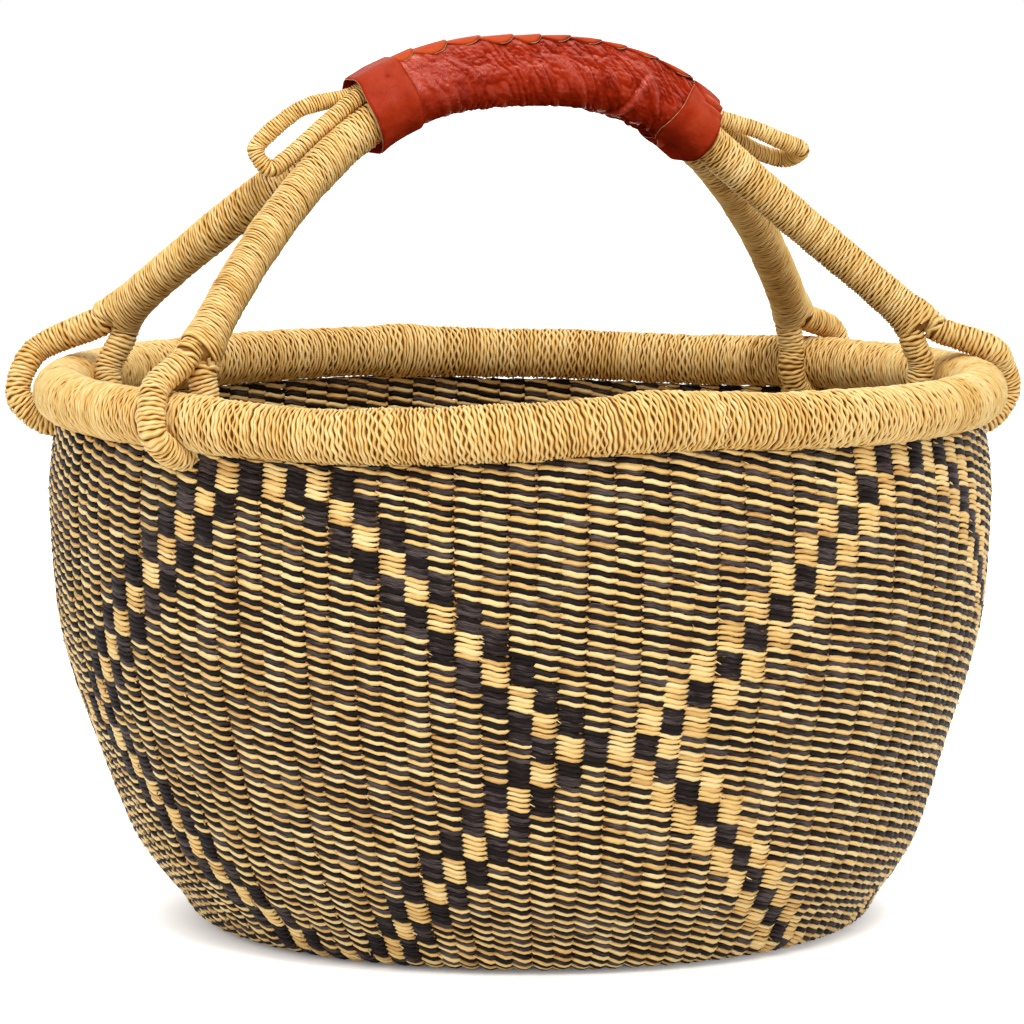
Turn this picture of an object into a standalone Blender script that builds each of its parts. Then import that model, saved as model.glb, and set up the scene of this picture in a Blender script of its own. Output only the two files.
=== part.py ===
"""A round bolga basket: a twined bowl with a wrapped rim, and a handle of two wrapped arches.

The origin is on the floor, under the middle of the flat base. +Z is up, and +X runs along the
handle to its right end. All lengths are in metres and all angles in degrees.
"""

import math

import bmesh
import bpy
from mathutils import Vector

# Driving dimensions of the bowl

RIM_OUTER_DIAMETER = 0.430
RIM_TUBE_DIAMETER = 0.0244
RIM_TOP_HEIGHT = 0.2462
BASE_FLAT_RADIUS = 0.138
WALL_THICKNESS = 0.0045
WALL_BULGE = 0.0057
FIT_CLEARANCE = 0.0003
NOTCH_CLEARANCE = 0.0008
STRAW_THICKNESS = 0.0020

# Driving dimensions of the handle

ROD_DIAMETER = 0.0175
STRAP_DIAMETER = 0.0124
ARCH_TOP_HEIGHT = 0.3702
LEFT_END_DROP = 0.0175
RIGHT_END_DROP = 0.0272
LEFT_GRIP_REACH = 0.0718
RIGHT_GRIP_REACH = 0.0837
BOUND_MARGIN = 0.002
FORK_FLARE_LENGTH = 0.030
FORK_SETBACKS = {
    "back_left": 0.0203,
    "front_left": 0.0148,
    "front_right": 0.0238,
    "back_right": 0.0143,
}
FORK_RISES = {
    "back_left": 0.0183,
    "front_left": 0.0163,
    "front_right": 0.0163,
    "back_right": 0.0143,
}

# Driving dimensions of the finger loops that come out of both ends of the grip

EAR_DIAMETER = 0.0080
EAR_STRAW_THICKNESS = 0.0011
LEFT_EAR_REACH = 0.052
RIGHT_EAR_REACH = 0.046
EAR_HALF_WIDTH = 0.0070
LEFT_EAR_LIFT = 0.0035
RIGHT_EAR_LIFT = 0.0025
LEFT_EAR_BEND = -0.0040
RIGHT_EAR_BEND = 0.0105

# Driving dimensions of the leather

LEATHER_THICKNESS = 0.0016
COLLAR_THICKNESS = 0.0018
LEFT_COLLAR_WIDTH = 0.031
RIGHT_COLLAR_WIDTH = 0.027
COLLAR_OVERHANG = 0.0015
SLEEVE_CLEARANCE = 0.0006
LACING_WIDTH = 0.0042
LACING_THICKNESS = 0.0016
LACING_WAVE = 0.0012
LACING_PITCH = 0.015

# Angles: where each foot stands on the rim, how steeply a leg meets it, how an ear is turned

FOOT_AZIMUTHS = {
    "back_left": 148.5,
    "front_left": 201.7,
    "front_right": -13.5,
    "back_right": 23.7,
}
FORK_PITCH = 60.0
LEFT_EAR_ROLL = 62.0
RIGHT_EAR_ROLL = -32.0

# Shares: the bowl's outline between its flat base and its widest ring, as radius and height

BOWL_OUTLINE_SHARES = (
    (0.000, 0.000),
    (0.170, 0.020),
    (0.262, 0.063),
    (0.391, 0.113),
    (0.521, 0.181),
    (0.626, 0.271),
    (0.743, 0.384),
    (0.862, 0.497),
    (0.946, 0.609),
    (0.982, 0.722),
    (1.000, 0.858),
    (0.985, 0.930),
)

# Shares: a strap's turn round the rim, as degrees and radius, and how a leg leaves the grip

LEAD_SHARE = 0.75
STRAP_TURN_SHARES = (
    (54.0, 1.13),
    (20.0, 1.16),
    (-14.0, 1.21),
    (-50.0, 1.15),
    (-88.0, 1.02),
    (-130.0, 1.03),
    (-168.0, 1.04),
    (-203.0, 1.10),
)
LEG_START_PULL_SHARE = 1.05
LEG_END_PULL_SHARE = 0.20
ARCH_POWER = 2.7

# Shares: an ear's outline, as distance along it and half width beyond its half width in the grip,
# and how much of it has gone by when it is fully turned and lifted

EAR_OUTLINE_SHARES = ((0.22, 0.25), (0.45, 0.72), (0.68, 1.00), (0.86, 0.92), (0.97, 0.50))
EAR_TURN_SHARE = 0.40

# Counts

BOWL_SEGMENTS = 40
TUBE_SIDES = 10
STRAND_SIDES = 8
HULL_SIDES = 20
GRIP_STATIONS = 4
LEG_STATIONS = 7
STRAP_STEPS = 2
NOTCH_STEPS = 8
LACING_STEPS = 4
LACING_SIDES = 6

# Sizes that follow from the ones above

RIM_TUBE_RADIUS = RIM_TUBE_DIAMETER / 2
RIM_CENTRE_RADIUS = RIM_OUTER_DIAMETER / 2 - RIM_TUBE_RADIUS
RIM_CENTRE_HEIGHT = RIM_TOP_HEIGHT - RIM_TUBE_RADIUS
RIM_INNER_RADIUS = RIM_TUBE_RADIUS - STRAW_THICKNESS
RIM_SEAM = math.asin((WALL_THICKNESS / 2 + FIT_CLEARANCE) / RIM_INNER_RADIUS)
ROD_RADIUS = ROD_DIAMETER / 2
STRAP_RADIUS = STRAP_DIAMETER / 2
EAR_RADIUS = EAR_DIAMETER / 2
LEFT_BOUND = LEFT_GRIP_REACH + BOUND_MARGIN
RIGHT_BOUND = RIGHT_GRIP_REACH + BOUND_MARGIN
LEFT_COLLAR_EDGE = LEFT_GRIP_REACH - LEFT_COLLAR_WIDTH
RIGHT_COLLAR_EDGE = RIGHT_GRIP_REACH - RIGHT_COLLAR_WIDTH
ROD_OFFSET = ROD_RADIUS + FIT_CLEARANCE / 2
EAR_OFFSET = EAR_RADIUS + FIT_CLEARANCE / 2
EAR_RISE = math.sqrt(
    (ROD_RADIUS + EAR_RADIUS + FIT_CLEARANCE) ** 2 - (ROD_OFFSET - EAR_OFFSET) ** 2
)
STRAP_TURN_RADIUS = RIM_TUBE_RADIUS + FIT_CLEARANCE + STRAP_RADIUS
STRAP_SPACING = STRAP_DIAMETER + 2 * FIT_CLEARANCE


def clear_scene():
    """Removes whatever the startup scene holds."""
    for leftover in list(bpy.data.objects):
        bpy.data.objects.remove(leftover, do_unlink=True)


def material(name, colour, roughness):
    """A plain surface of one colour, for a piece of straw or leather."""
    made = bpy.data.materials.new(name)
    made.use_nodes = True
    shader = made.node_tree.nodes["Principled BSDF"]
    shader.inputs["Base Color"].default_value = (*colour, 1.0)
    shader.inputs["Roughness"].default_value = roughness
    shader.inputs["Metallic"].default_value = 0.0
    return made


def add_object(name, shape, surface):
    """Turns a bmesh into a smooth shaded object, with its faces pointing out."""
    bmesh.ops.recalc_face_normals(shape, faces=shape.faces)
    mesh = bpy.data.meshes.new(name)
    shape.to_mesh(mesh)
    shape.free()
    mesh.shade_smooth()
    mesh.set_sharp_from_angle(angle=math.radians(40.0))
    mesh.materials.append(surface)
    made = bpy.data.objects.new(name, mesh)
    bpy.context.scene.collection.objects.link(made)
    return made


# Outlines and paths


def smooth_curve(points, steps):
    """Points along a Catmull-Rom curve, with this many steps in each span."""
    path = [2 * points[0] - points[1], *points, 2 * points[-1] - points[-2]]
    found = []
    for a, b, c, d in zip(path, path[1:], path[2:], path[3:]):
        for step in range(steps):
            t = step / steps
            found.append(
                (2 * b + (c - a) * t + (2 * a - 5 * b + 4 * c - d) * t**2 + (3 * b - a - 3 * c + d) * t**3) / 2
            )
    return [*found, points[-1].copy()]


def round_outline(radius, sides):
    """The corners of a circle in a section's own two directions, side and up."""
    turns = (2 * math.pi * (i + 0.5) / sides for i in range(sides))
    return [(radius * math.cos(turn), radius * math.sin(turn)) for turn in turns]


def tight_outline(circles, offset, sides):
    """The outline of a skin pulled round some circles, each (side, up, radius), at this offset."""
    found = []
    for i in range(sides):
        turn = 2 * math.pi * (i + 0.5) / sides
        across, along = math.cos(turn), math.sin(turn)
        side, up, radius = max(circles, key=lambda c: c[0] * across + c[1] * along + c[2])
        found.append((side + (radius + offset) * across, up + (radius + offset) * along))
    return found


def tangents_of(points):
    """The direction of travel at each point of a path."""
    befores = [points[0], *points[:-1]]
    afters = [*points[1:], points[-1]]
    return [(after - before).normalized() for before, after in zip(befores, afters)]


def ring(centre, side, up, outline):
    """An outline set on a path, in the plane of these two directions."""
    return [centre + side * across + up * along for across, along in outline]


# Skins


def skin(shape, rings, closed):
    """Joins equal rings of points with quads, and returns their corner points."""
    corners = [[shape.verts.new(point) for point in one] for one in rings]
    sides = len(rings[0])
    for i in range(len(rings) if closed else len(rings) - 1):
        this, after = corners[i], corners[(i + 1) % len(rings)]
        for j in range(sides):
            k = (j + 1) % sides
            shape.faces.new((this[j], this[k], after[k], after[j]))
    return corners


def solid_rod(rings, closed=False):
    """A solid that fills equal rings, with flat ends unless it closes on itself."""
    shape = bmesh.new()
    corners = skin(shape, rings, closed)
    if not closed:
        shape.faces.new(corners[0])
        shape.faces.new(corners[-1])
    return shape


def open_pipe(outer_rings, inner_rings):
    """A hollow tube whose two ends are open."""
    shape = bmesh.new()
    outer = skin(shape, outer_rings, False)
    inner = skin(shape, inner_rings, False)
    for outside, inside in ((outer[0], inner[0]), (outer[-1], inner[-1])):
        for j in range(len(outside)):
            k = (j + 1) % len(outside)
            shape.faces.new((outside[j], outside[k], inside[k], inside[j]))
    return shape


# The bowl


def bowl_outline():
    """The bowl's outer side from the edge of its base up to its neck, as (radius, height)."""
    widest = RIM_CENTRE_RADIUS + WALL_BULGE
    neck_height = RIM_CENTRE_HEIGHT - RIM_TUBE_RADIUS - FIT_CLEARANCE
    points = [
        (BASE_FLAT_RADIUS + out * (widest - BASE_FLAT_RADIUS), up * neck_height)
        for out, up in BOWL_OUTLINE_SHARES
    ]
    points.append((RIM_CENTRE_RADIUS + WALL_THICKNESS / 2, neck_height))
    return points


def thickened(points, thickness):
    """The same outline moved inwards, towards the axis and up, by the wall's thickness."""
    found = []
    for i, (radius, height) in enumerate(points):
        before = points[max(i - 1, 0)]
        after = points[min(i + 1, len(points) - 1)]
        run, rise = after[0] - before[0], after[1] - before[1]
        length = math.hypot(run, rise)
        found.append((radius - thickness * rise / length, height + thickness * run / length))
    return found


def make_bowl(surface):
    """The twined bowl, open at the top, with its upper edge standing in the rim's seam."""
    outside = bowl_outline()
    inside = thickened(outside, WALL_THICKNESS)
    edge_height = RIM_CENTRE_HEIGHT - RIM_INNER_RADIUS
    inside[0] = (outside[0][0] - WALL_THICKNESS, WALL_THICKNESS)
    inside[-1] = (RIM_CENTRE_RADIUS - WALL_THICKNESS / 2, outside[-1][1])
    outside.append((RIM_CENTRE_RADIUS + WALL_THICKNESS / 2, edge_height))
    inside.append((RIM_CENTRE_RADIUS - WALL_THICKNESS / 2, edge_height))
    profile = outside + inside[::-1]
    turns = [2 * math.pi * i / BOWL_SEGMENTS for i in range(BOWL_SEGMENTS)]
    rings = [
        [Vector((radius * math.cos(turn), radius * math.sin(turn), height)) for turn in turns]
        for radius, height in profile
    ]
    shape = bmesh.new()
    corners = skin(shape, rings, False)
    for end, height in ((corners[0], 0), (corners[-1], WALL_THICKNESS)):
        middle = shape.verts.new((0, 0, height))
        for j in range(BOWL_SEGMENTS):
            shape.faces.new((end[j], end[(j + 1) % BOWL_SEGMENTS], middle))
    bowl = add_object("woven_bowl", shape, surface)
    for foot in FOOT_AZIMUTHS:
        cut = bowl.modifiers.new(f"{foot}_notch", "BOOLEAN")
        cut.operation = "DIFFERENCE"
        cut.solver = "EXACT"
        cut.object = notch_cutter(foot, surface)
    return bowl


def notch_cutter(foot, surface):
    """The gap between two stakes that a foot's strap passes through, just under the rim."""
    half = STRAP_RADIUS + NOTCH_CLEARANCE
    low = RIM_CENTRE_HEIGHT - STRAP_TURN_RADIUS
    top = RIM_CENTRE_HEIGHT
    outline = [(half, top), (-half, top)]
    for i in range(NOTCH_STEPS + 1):
        turn = math.pi * (1 + i / NOTCH_STEPS)
        outline.append((half * math.cos(turn), low + half * math.sin(turn)))
    out, across = foot_directions(foot)
    rings = []
    for reach in (-STRAP_TURN_RADIUS, STRAP_TURN_RADIUS):
        centre = out * (RIM_CENTRE_RADIUS + reach)
        rings.append([centre + across * side + Vector((0, 0, height)) for side, height in outline])
    cutter = add_object(f"{foot}_notch_cutter", solid_rod(rings), surface)
    cutter.hide_render = True
    cutter.display_type = "WIRE"
    return cutter


# The rim


def rim_rings(outline):
    """One section of the rim set round its circle."""
    rings = []
    for i in range(BOWL_SEGMENTS):
        turn = 2 * math.pi * i / BOWL_SEGMENTS
        out = Vector((math.cos(turn), math.sin(turn), 0))
        centre = out * RIM_CENTRE_RADIUS + Vector((0, 0, RIM_CENTRE_HEIGHT))
        rings.append(ring(centre, out, Vector((0, 0, 1)), outline))
    return rings


def make_rim(straw, grass):
    """The bundle of bent stake ends, and the straw that is wound round it and open at its seam."""
    half_step = (math.pi - RIM_SEAM) / TUBE_SIDES
    core_radius = RIM_INNER_RADIUS * math.cos(half_step) - FIT_CLEARANCE
    core = round_outline(core_radius, TUBE_SIDES)
    add_object("rim_core", solid_rod(rim_rings(core), closed=True), grass)
    turns = [RIM_SEAM - math.pi / 2 + 2 * half_step * i for i in range(TUBE_SIDES + 1)]
    outer, inner = RIM_TUBE_RADIUS, RIM_INNER_RADIUS
    outline = [(outer * math.cos(turn), outer * math.sin(turn)) for turn in turns]
    outline += [(inner * math.cos(turn), inner * math.sin(turn)) for turn in reversed(turns)]
    add_object("rim_wrap", solid_rod(rim_rings(outline), closed=True), straw)


# The two arches of the handle


def grip_height(along):
    """The height of the arches' middle line where they lie side by side."""
    drop, reach = (RIGHT_END_DROP, RIGHT_BOUND) if along > 0 else (LEFT_END_DROP, LEFT_BOUND)
    return ARCH_TOP_HEIGHT - drop * (abs(along) / reach) ** ARCH_POWER


def grip_frame(along):
    """The point, the direction of travel and the upward direction of the bound middle part."""
    drop, reach = (-RIGHT_END_DROP, RIGHT_BOUND) if along > 0 else (LEFT_END_DROP, LEFT_BOUND)
    slope = drop * ARCH_POWER * abs(along / reach) ** (ARCH_POWER - 1) / reach
    travel = Vector((1, 0, slope)).normalized()
    return Vector((along, 0, grip_height(along))), travel, Vector((-travel.z, 0, travel.x))


def grip_stations(start, end):
    """Places along the grip from start to end. All the pieces bound there bend at the same ones."""
    shared = {0.0}
    for side, bound, reach, edge in (
        (-1, LEFT_BOUND, LEFT_GRIP_REACH, LEFT_COLLAR_EDGE),
        (1, RIGHT_BOUND, RIGHT_GRIP_REACH, RIGHT_COLLAR_EDGE),
    ):
        shared |= {side * place for place in (bound, reach, reach - COLLAR_OVERHANG, (reach + edge) / 2)}
        shared |= {side * edge * i / GRIP_STATIONS for i in range(1, GRIP_STATIONS + 1)}
    low, high = min(start, end), max(start, end)
    between = sorted(along for along in shared if low + FIT_CLEARANCE < along < high - FIT_CLEARANCE)
    return [start, *(between if start < end else between[::-1]), end]


def foot_directions(foot):
    """The direction out through a foot, and the one along the rim there."""
    turn = math.radians(FOOT_AZIMUTHS[foot])
    return Vector((math.cos(turn), math.sin(turn), 0)), Vector((-math.sin(turn), math.cos(turn), 0))


def fork_of(foot):
    """The middle of a leg's end, above the rim, and the direction in which the leg arrives."""
    out, _ = foot_directions(foot)
    radius = RIM_CENTRE_RADIUS - FORK_SETBACKS[foot]
    centre = out * radius + Vector((0, 0, RIM_TOP_HEIGHT + FORK_RISES[foot]))
    pitch = math.radians(FORK_PITCH)
    return centre, out * math.cos(pitch) - Vector((0, 0, math.sin(pitch)))


def leg_path(end, offset, foot):
    """A leg from the bound part's end, at +1 or -1 along the handle, down to its fork."""
    start, travel, _ = grip_frame(RIGHT_BOUND if end > 0 else -LEFT_BOUND)
    start.y = offset
    travel *= end
    finish, arrival = fork_of(foot)
    reach = (finish - start).length
    first = travel * reach * LEG_START_PULL_SHARE
    last = arrival * reach * LEG_END_PULL_SHARE
    path = []
    for i in range(LEG_STATIONS + 1):
        t = i / LEG_STATIONS
        path.append(
            start * (1 - 3 * t**2 + 2 * t**3)
            + finish * (3 * t**2 - 2 * t**3)
            + first * (t - 2 * t**2 + t**3)
            + last * (t**3 - t**2)
        )
    return path


def arch_path(offset, left_foot, right_foot):
    """One arch from its left fork, along the grip, to its right fork."""
    inner_stations = grip_stations(-LEFT_BOUND, RIGHT_BOUND)[1:-1]
    bound = [Vector((along, offset, grip_height(along))) for along in inner_stations]
    left = leg_path(-1, offset, left_foot)
    return left[::-1] + bound + leg_path(1, offset, right_foot)


def arch_frames(path, left_foot, right_foot):
    """The side and up directions along an arch. Up stays in the upright plane of travel."""
    travels = tangents_of(path)
    travels[0] = -fork_of(left_foot)[1]
    travels[-1] = fork_of(right_foot)[1]
    frames = []
    for travel in travels:
        side = Vector((0, 0, 1)).cross(travel).normalized()
        frames.append((side, travel.cross(side)))
    return frames


def flare_at(path, i):
    """How far a leg widens towards its fork, from 0 to 1, at one of its points."""
    ends = min((path[i] - path[0]).length, (path[i] - path[-1]).length)
    near = max(0.0, 1 - ends / FORK_FLARE_LENGTH)
    return near * near * (3 - 2 * near)


def arch_rings(path, frames, radius):
    """Sections of an arch that widen at both forks to take the two strap ends."""
    widened = radius - ROD_RADIUS + STRAP_SPACING / 2 + STRAP_RADIUS
    rings = []
    for i, (side, up) in enumerate(frames):
        tall = radius + (widened - radius) * flare_at(path, i)
        outline = [(across, along * tall / radius) for across, along in round_outline(radius, TUBE_SIDES)]
        rings.append(ring(path[i], side, up, outline))
    return rings


def make_arch(name, offset, straw, grass):
    """One arch: its bundle of straw, and the straw wound round it."""
    left_foot, right_foot = f"{name}_left", f"{name}_right"
    path = arch_path(offset, left_foot, right_foot)
    frames = arch_frames(path, left_foot, right_foot)
    inner = ROD_RADIUS - STRAW_THICKNESS
    outside = arch_rings(path, frames, ROD_RADIUS)
    inside = arch_rings(path, frames, inner)
    core = arch_rings(path, frames, inner - FIT_CLEARANCE)
    add_object(f"{name}_arch_wrap", open_pipe(outside, inside), straw)
    add_object(f"{name}_arch_core", solid_rod(core), grass)


# The feet


def strap_path(foot):
    """A foot's strap: out over the rim, under it through the wall, and up inside to the fork."""
    out, across = foot_directions(foot)
    fork, arrival = fork_of(foot)
    apart = across.cross(arrival).normalized() * (STRAP_SPACING / 2)
    if apart.dot(out) < 0:
        apart = -apart
    start = fork + arrival * FIT_CLEARANCE
    centre = out * RIM_CENTRE_RADIUS + Vector((0, 0, RIM_CENTRE_HEIGHT))
    lead = arrival * (LEAD_SHARE * STRAP_RADIUS)
    points = [start + apart, start + apart + lead]
    for degrees, share in STRAP_TURN_SHARES:
        turn = math.radians(degrees)
        reach = share * STRAP_TURN_RADIUS
        points.append(centre + out * (reach * math.cos(turn)) + Vector((0, 0, reach * math.sin(turn))))
    points += [start - apart + lead, start - apart]
    return smooth_curve(points, STRAP_STEPS), across, arrival


def make_foot(foot, straw, grass):
    """One foot: a wrapped strap that goes round the rim and holds the handle to it."""
    path, across, arrival = strap_path(foot)
    travels = tangents_of(path)
    travels[:STRAP_STEPS] = [arrival] * STRAP_STEPS
    travels[-STRAP_STEPS:] = [-arrival] * STRAP_STEPS
    inner = STRAP_RADIUS - STRAW_THICKNESS
    sections = []
    for radius in (STRAP_RADIUS, inner, inner - FIT_CLEARANCE):
        outline = round_outline(radius, STRAND_SIDES)
        sections.append([ring(p, across, t.cross(across), outline) for p, t in zip(path, travels)])
    add_object(f"{foot}_foot_wrap", open_pipe(sections[0], sections[1]), straw)
    add_object(f"{foot}_foot_core", solid_rod(sections[2]), grass)


# The ear ring


def ear_points(end, reach, ear):
    """One ear of the ring, from its front strand round the tip to its back strand."""
    length, lift, bend, roll = ear
    start, travel, up = grip_frame(end * reach)
    travel *= end
    start += up * EAR_RISE
    side = Vector((0, 1, 0))
    found = []
    front = [(along, -wide) for along, wide in EAR_OUTLINE_SHARES]
    back = [(along, wide) for along, wide in reversed(EAR_OUTLINE_SHARES)]
    for along, wide in [*front, (1.0, 0.0), *back]:
        share = min(1.0, along / EAR_TURN_SHARE)
        turned = math.radians(roll) * share
        across = side * math.cos(turned) + up * math.sin(turned)
        half = EAR_OFFSET + (EAR_HALF_WIDTH - EAR_OFFSET) * abs(wide) if wide else 0
        middle = start + travel * (length * along) + up * (lift * share + bend * along**2)
        found.append(middle + across * math.copysign(half, wide))
    return found


def strand_points(offset, start, end):
    """A straight strand of the ring inside the grip, between these two places along it."""
    found = []
    for along in grip_stations(start, end):
        point, _, up = grip_frame(along)
        found.append(point + up * EAR_RISE + Vector((0, offset, 0)))
    return found


def make_ear_ring(straw, grass):
    """A straw ring laid on top of the two arches, whose ends show as two finger loops."""
    half_gap = FIT_CLEARANCE / 2
    left_ear = (LEFT_EAR_REACH, LEFT_EAR_LIFT, LEFT_EAR_BEND, LEFT_EAR_ROLL)
    right_ear = (RIGHT_EAR_REACH, RIGHT_EAR_LIFT, RIGHT_EAR_BEND, RIGHT_EAR_ROLL)
    for name, end, reach, ear in (
        ("left", -1, LEFT_GRIP_REACH, left_ear),
        ("right", 1, RIGHT_GRIP_REACH, right_ear),
    ):
        front = strand_points(-EAR_OFFSET, end * half_gap, end * reach)
        back = strand_points(EAR_OFFSET, end * reach, end * half_gap)
        path = front + ear_points(end, reach, ear) + back
        travels = tangents_of(path)
        travels[0] = Vector((end, 0, 0))
        travels[-1] = -travels[0]
        frames = carried_frames(travels, Vector((0, 1, 0)))
        inner = EAR_RADIUS - EAR_STRAW_THICKNESS
        outside, inside, core = (
            [ring(p, side, up, round_outline(radius, STRAND_SIDES)) for p, (side, up) in zip(path, frames)]
            for radius in (EAR_RADIUS, inner, inner - FIT_CLEARANCE)
        )
        add_object(f"{name}_ear_wrap", open_pipe(outside, inside), straw)
        add_object(f"{name}_ear_core", solid_rod(core), grass)


def carried_frames(travels, side):
    """Side and up directions that are carried along a path without twisting."""
    frames = []
    for travel in travels:
        side = (side - travel * side.dot(travel)).normalized()
        frames.append((side, travel.cross(side)))
    return frames


# The leather


def bound_circles():
    """What the leather is pulled round: the two arches and the ring's two strands."""
    return (
        (-ROD_OFFSET, 0, ROD_RADIUS),
        (ROD_OFFSET, 0, ROD_RADIUS),
        (-EAR_OFFSET, EAR_RISE, EAR_RADIUS),
        (EAR_OFFSET, EAR_RISE, EAR_RADIUS),
    )


def sleeve_rings(start, end, offset):
    """Sections of a leather tube along the grip, at this offset from what it binds."""
    outline = tight_outline(bound_circles(), offset, HULL_SIDES)
    rings = []
    for along in grip_stations(start, end):
        point, _, up = grip_frame(along)
        rings.append(ring(point, Vector((0, 1, 0)), up, outline))
    return rings


def make_leather(leather):
    """The leather grip, the two collars over its ends, and the thong that closes its seam."""
    inside = SLEEVE_CLEARANCE
    outside = inside + LEATHER_THICKNESS
    over = outside + FIT_CLEARANCE
    left = COLLAR_OVERHANG - LEFT_GRIP_REACH
    right = RIGHT_GRIP_REACH - COLLAR_OVERHANG
    add_object(
        "leather_grip",
        open_pipe(sleeve_rings(left, right, outside), sleeve_rings(left, right, inside)),
        leather,
    )
    for name, start, end in (
        ("left_collar", -LEFT_GRIP_REACH, -LEFT_COLLAR_EDGE),
        ("right_collar", RIGHT_COLLAR_EDGE, RIGHT_GRIP_REACH),
    ):
        outer = sleeve_rings(start, end, over + COLLAR_THICKNESS)
        add_object(name, open_pipe(outer, sleeve_rings(start, end, over)), leather)
    between = (FIT_CLEARANCE - LEFT_COLLAR_EDGE, RIGHT_COLLAR_EDGE - FIT_CLEARANCE)
    add_object("grip_lacing", lacing(*between, outside), leather)


def lacing(start, end, offset):
    """A flat thong that runs in small waves along the top of the grip."""
    waves = round((end - start) / LACING_PITCH)
    steps = waves * LACING_STEPS
    rise = EAR_RISE + EAR_RADIUS + offset + FIT_CLEARANCE + LACING_THICKNESS / 2
    outline = [
        (across * LACING_WIDTH, along * LACING_THICKNESS)
        for across, along in round_outline(1 / 2, LACING_SIDES)
    ]
    rings = []
    for i in range(steps + 1):
        point, _, up = grip_frame(start + (end - start) * i / steps)
        wave = LACING_WAVE * math.sin(2 * math.pi * i / LACING_STEPS)
        side = Vector((0, 1, 0))
        rings.append(ring(point + up * rise + side * (wave - EAR_OFFSET), side, up, outline))
    return solid_rod(rings)


def main():
    """Builds the basket from its bowl up to the leather on its handle."""
    clear_scene()
    woven = material("woven_straw", (0.34, 0.27, 0.18), 0.75)
    straw = material("wrapping_straw", (0.78, 0.57, 0.26), 0.60)
    grass = material("straw_bundle", (0.66, 0.50, 0.25), 0.85)
    leather = material("red_leather", (0.40, 0.035, 0.015), 0.45)
    make_bowl(woven)
    make_rim(straw, grass)
    make_arch("front", -ROD_OFFSET, straw, grass)
    make_arch("back", ROD_OFFSET, straw, grass)
    for foot in FOOT_AZIMUTHS:
        make_foot(foot, straw, grass)
    make_ear_ring(straw, grass)
    make_leather(leather)


main()
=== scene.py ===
"""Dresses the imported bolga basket: twined wall, wound rim and handle, and a red leather grip.

All lengths are in metres and all angles in degrees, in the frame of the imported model. +Z is up,
+X runs along the handle to its right end, and -Y faces the front.
"""

import logging
import math
from dataclasses import dataclass, field
from enum import Enum
from typing import Callable

import bpy
import numpy as np
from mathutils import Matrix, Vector


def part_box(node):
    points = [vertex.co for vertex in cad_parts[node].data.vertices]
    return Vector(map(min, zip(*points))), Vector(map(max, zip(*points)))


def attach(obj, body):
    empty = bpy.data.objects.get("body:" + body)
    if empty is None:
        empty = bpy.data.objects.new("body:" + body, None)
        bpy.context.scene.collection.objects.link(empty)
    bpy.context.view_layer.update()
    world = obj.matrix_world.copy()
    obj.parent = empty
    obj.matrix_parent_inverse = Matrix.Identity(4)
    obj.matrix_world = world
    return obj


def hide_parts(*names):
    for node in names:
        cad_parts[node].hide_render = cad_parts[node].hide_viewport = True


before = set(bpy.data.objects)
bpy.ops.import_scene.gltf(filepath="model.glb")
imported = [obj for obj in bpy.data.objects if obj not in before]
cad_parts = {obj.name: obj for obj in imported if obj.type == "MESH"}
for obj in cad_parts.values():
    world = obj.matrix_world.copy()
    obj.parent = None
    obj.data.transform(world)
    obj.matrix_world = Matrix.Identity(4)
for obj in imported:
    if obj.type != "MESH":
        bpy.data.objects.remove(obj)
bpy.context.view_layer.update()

Array = np.ndarray
LOG = logging.getLogger("bolga_basket")
ORIGIN = np.zeros(3)
UP = np.array((0.0, 0.0, 1.0))
BACKWARD = np.array((0.0, 1.0, 0.0))
MM = 0.001
CELL_SHAPE = 3.0
CELL_MARGIN = 0.04


class Tone(Enum):
    """The two colours of grass in the weave."""

    NATURAL = 0
    DARK = 1


class Face(Enum):
    """The side of the wall that a stitch shows on."""

    OUTSIDE = 1
    INSIDE = -1


# Curves and smooth random values


def eased(part: Array) -> Array:
    """Turns an even rise from 0 to 1 into one that starts and ends gently."""
    return part * part * (3 - 2 * part)


def rising(values: Array, start: float, length: float) -> Array:
    """Rises evenly from 0 at the start to 1 after the length. A negative length lets it sink instead."""
    return np.clip((values - start) / length, 0.0, 1.0)


def round_turn(count: int) -> Array:
    """Equal steps round a circle, in radians."""
    return np.arange(count) / count * 2 * math.pi


def level_direction(degrees: float) -> Array:
    """The level direction at an azimuth."""
    turn = math.radians(degrees)
    return np.array((math.cos(turn), math.sin(turn), 0.0))


def unit(vectors: Array) -> Array:
    """Scales each vector of an array to length 1."""
    return vectors / np.maximum(np.linalg.norm(vectors, axis=-1, keepdims=True), 1e-12)


def travelled(points: Array) -> Array:
    """The distance travelled at each point of a line."""
    return np.concatenate([[0.0], np.cumsum(np.linalg.norm(np.diff(points, axis=0), axis=1))])


def read_columns(at: Array, places: Array, values: Array) -> Array:
    """Reads each column of a table of values at some places between its rows."""
    return np.stack([np.interp(at, places, values[:, i]) for i in range(values.shape[1])], axis=-1)


def smooth_curve(points: Array, steps: int) -> Array:
    """Runs a Catmull-Rom curve through points.

    Args:
        points: The points to pass through, one in each row.
        steps: How many steps each span is cut into.

    Returns:
        The points of the curve.
    """
    points = np.asarray(points, float)
    path = np.concatenate([2 * points[:1] - points[1:2], points, 2 * points[-1:] - points[-2:-1]])
    t = (np.arange(steps) / steps)[None, :, None]
    a, b, c, d = (path[i : len(path) - 3 + i, None, :] for i in range(4))
    spans = (2 * b + (c - a) * t + (2 * a - 5 * b + 4 * c - d) * t**2 + (3 * b - a - 3 * c + d) * t**3) / 2
    return np.concatenate([spans.reshape(-1, points.shape[1]), points[-1:]])


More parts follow.
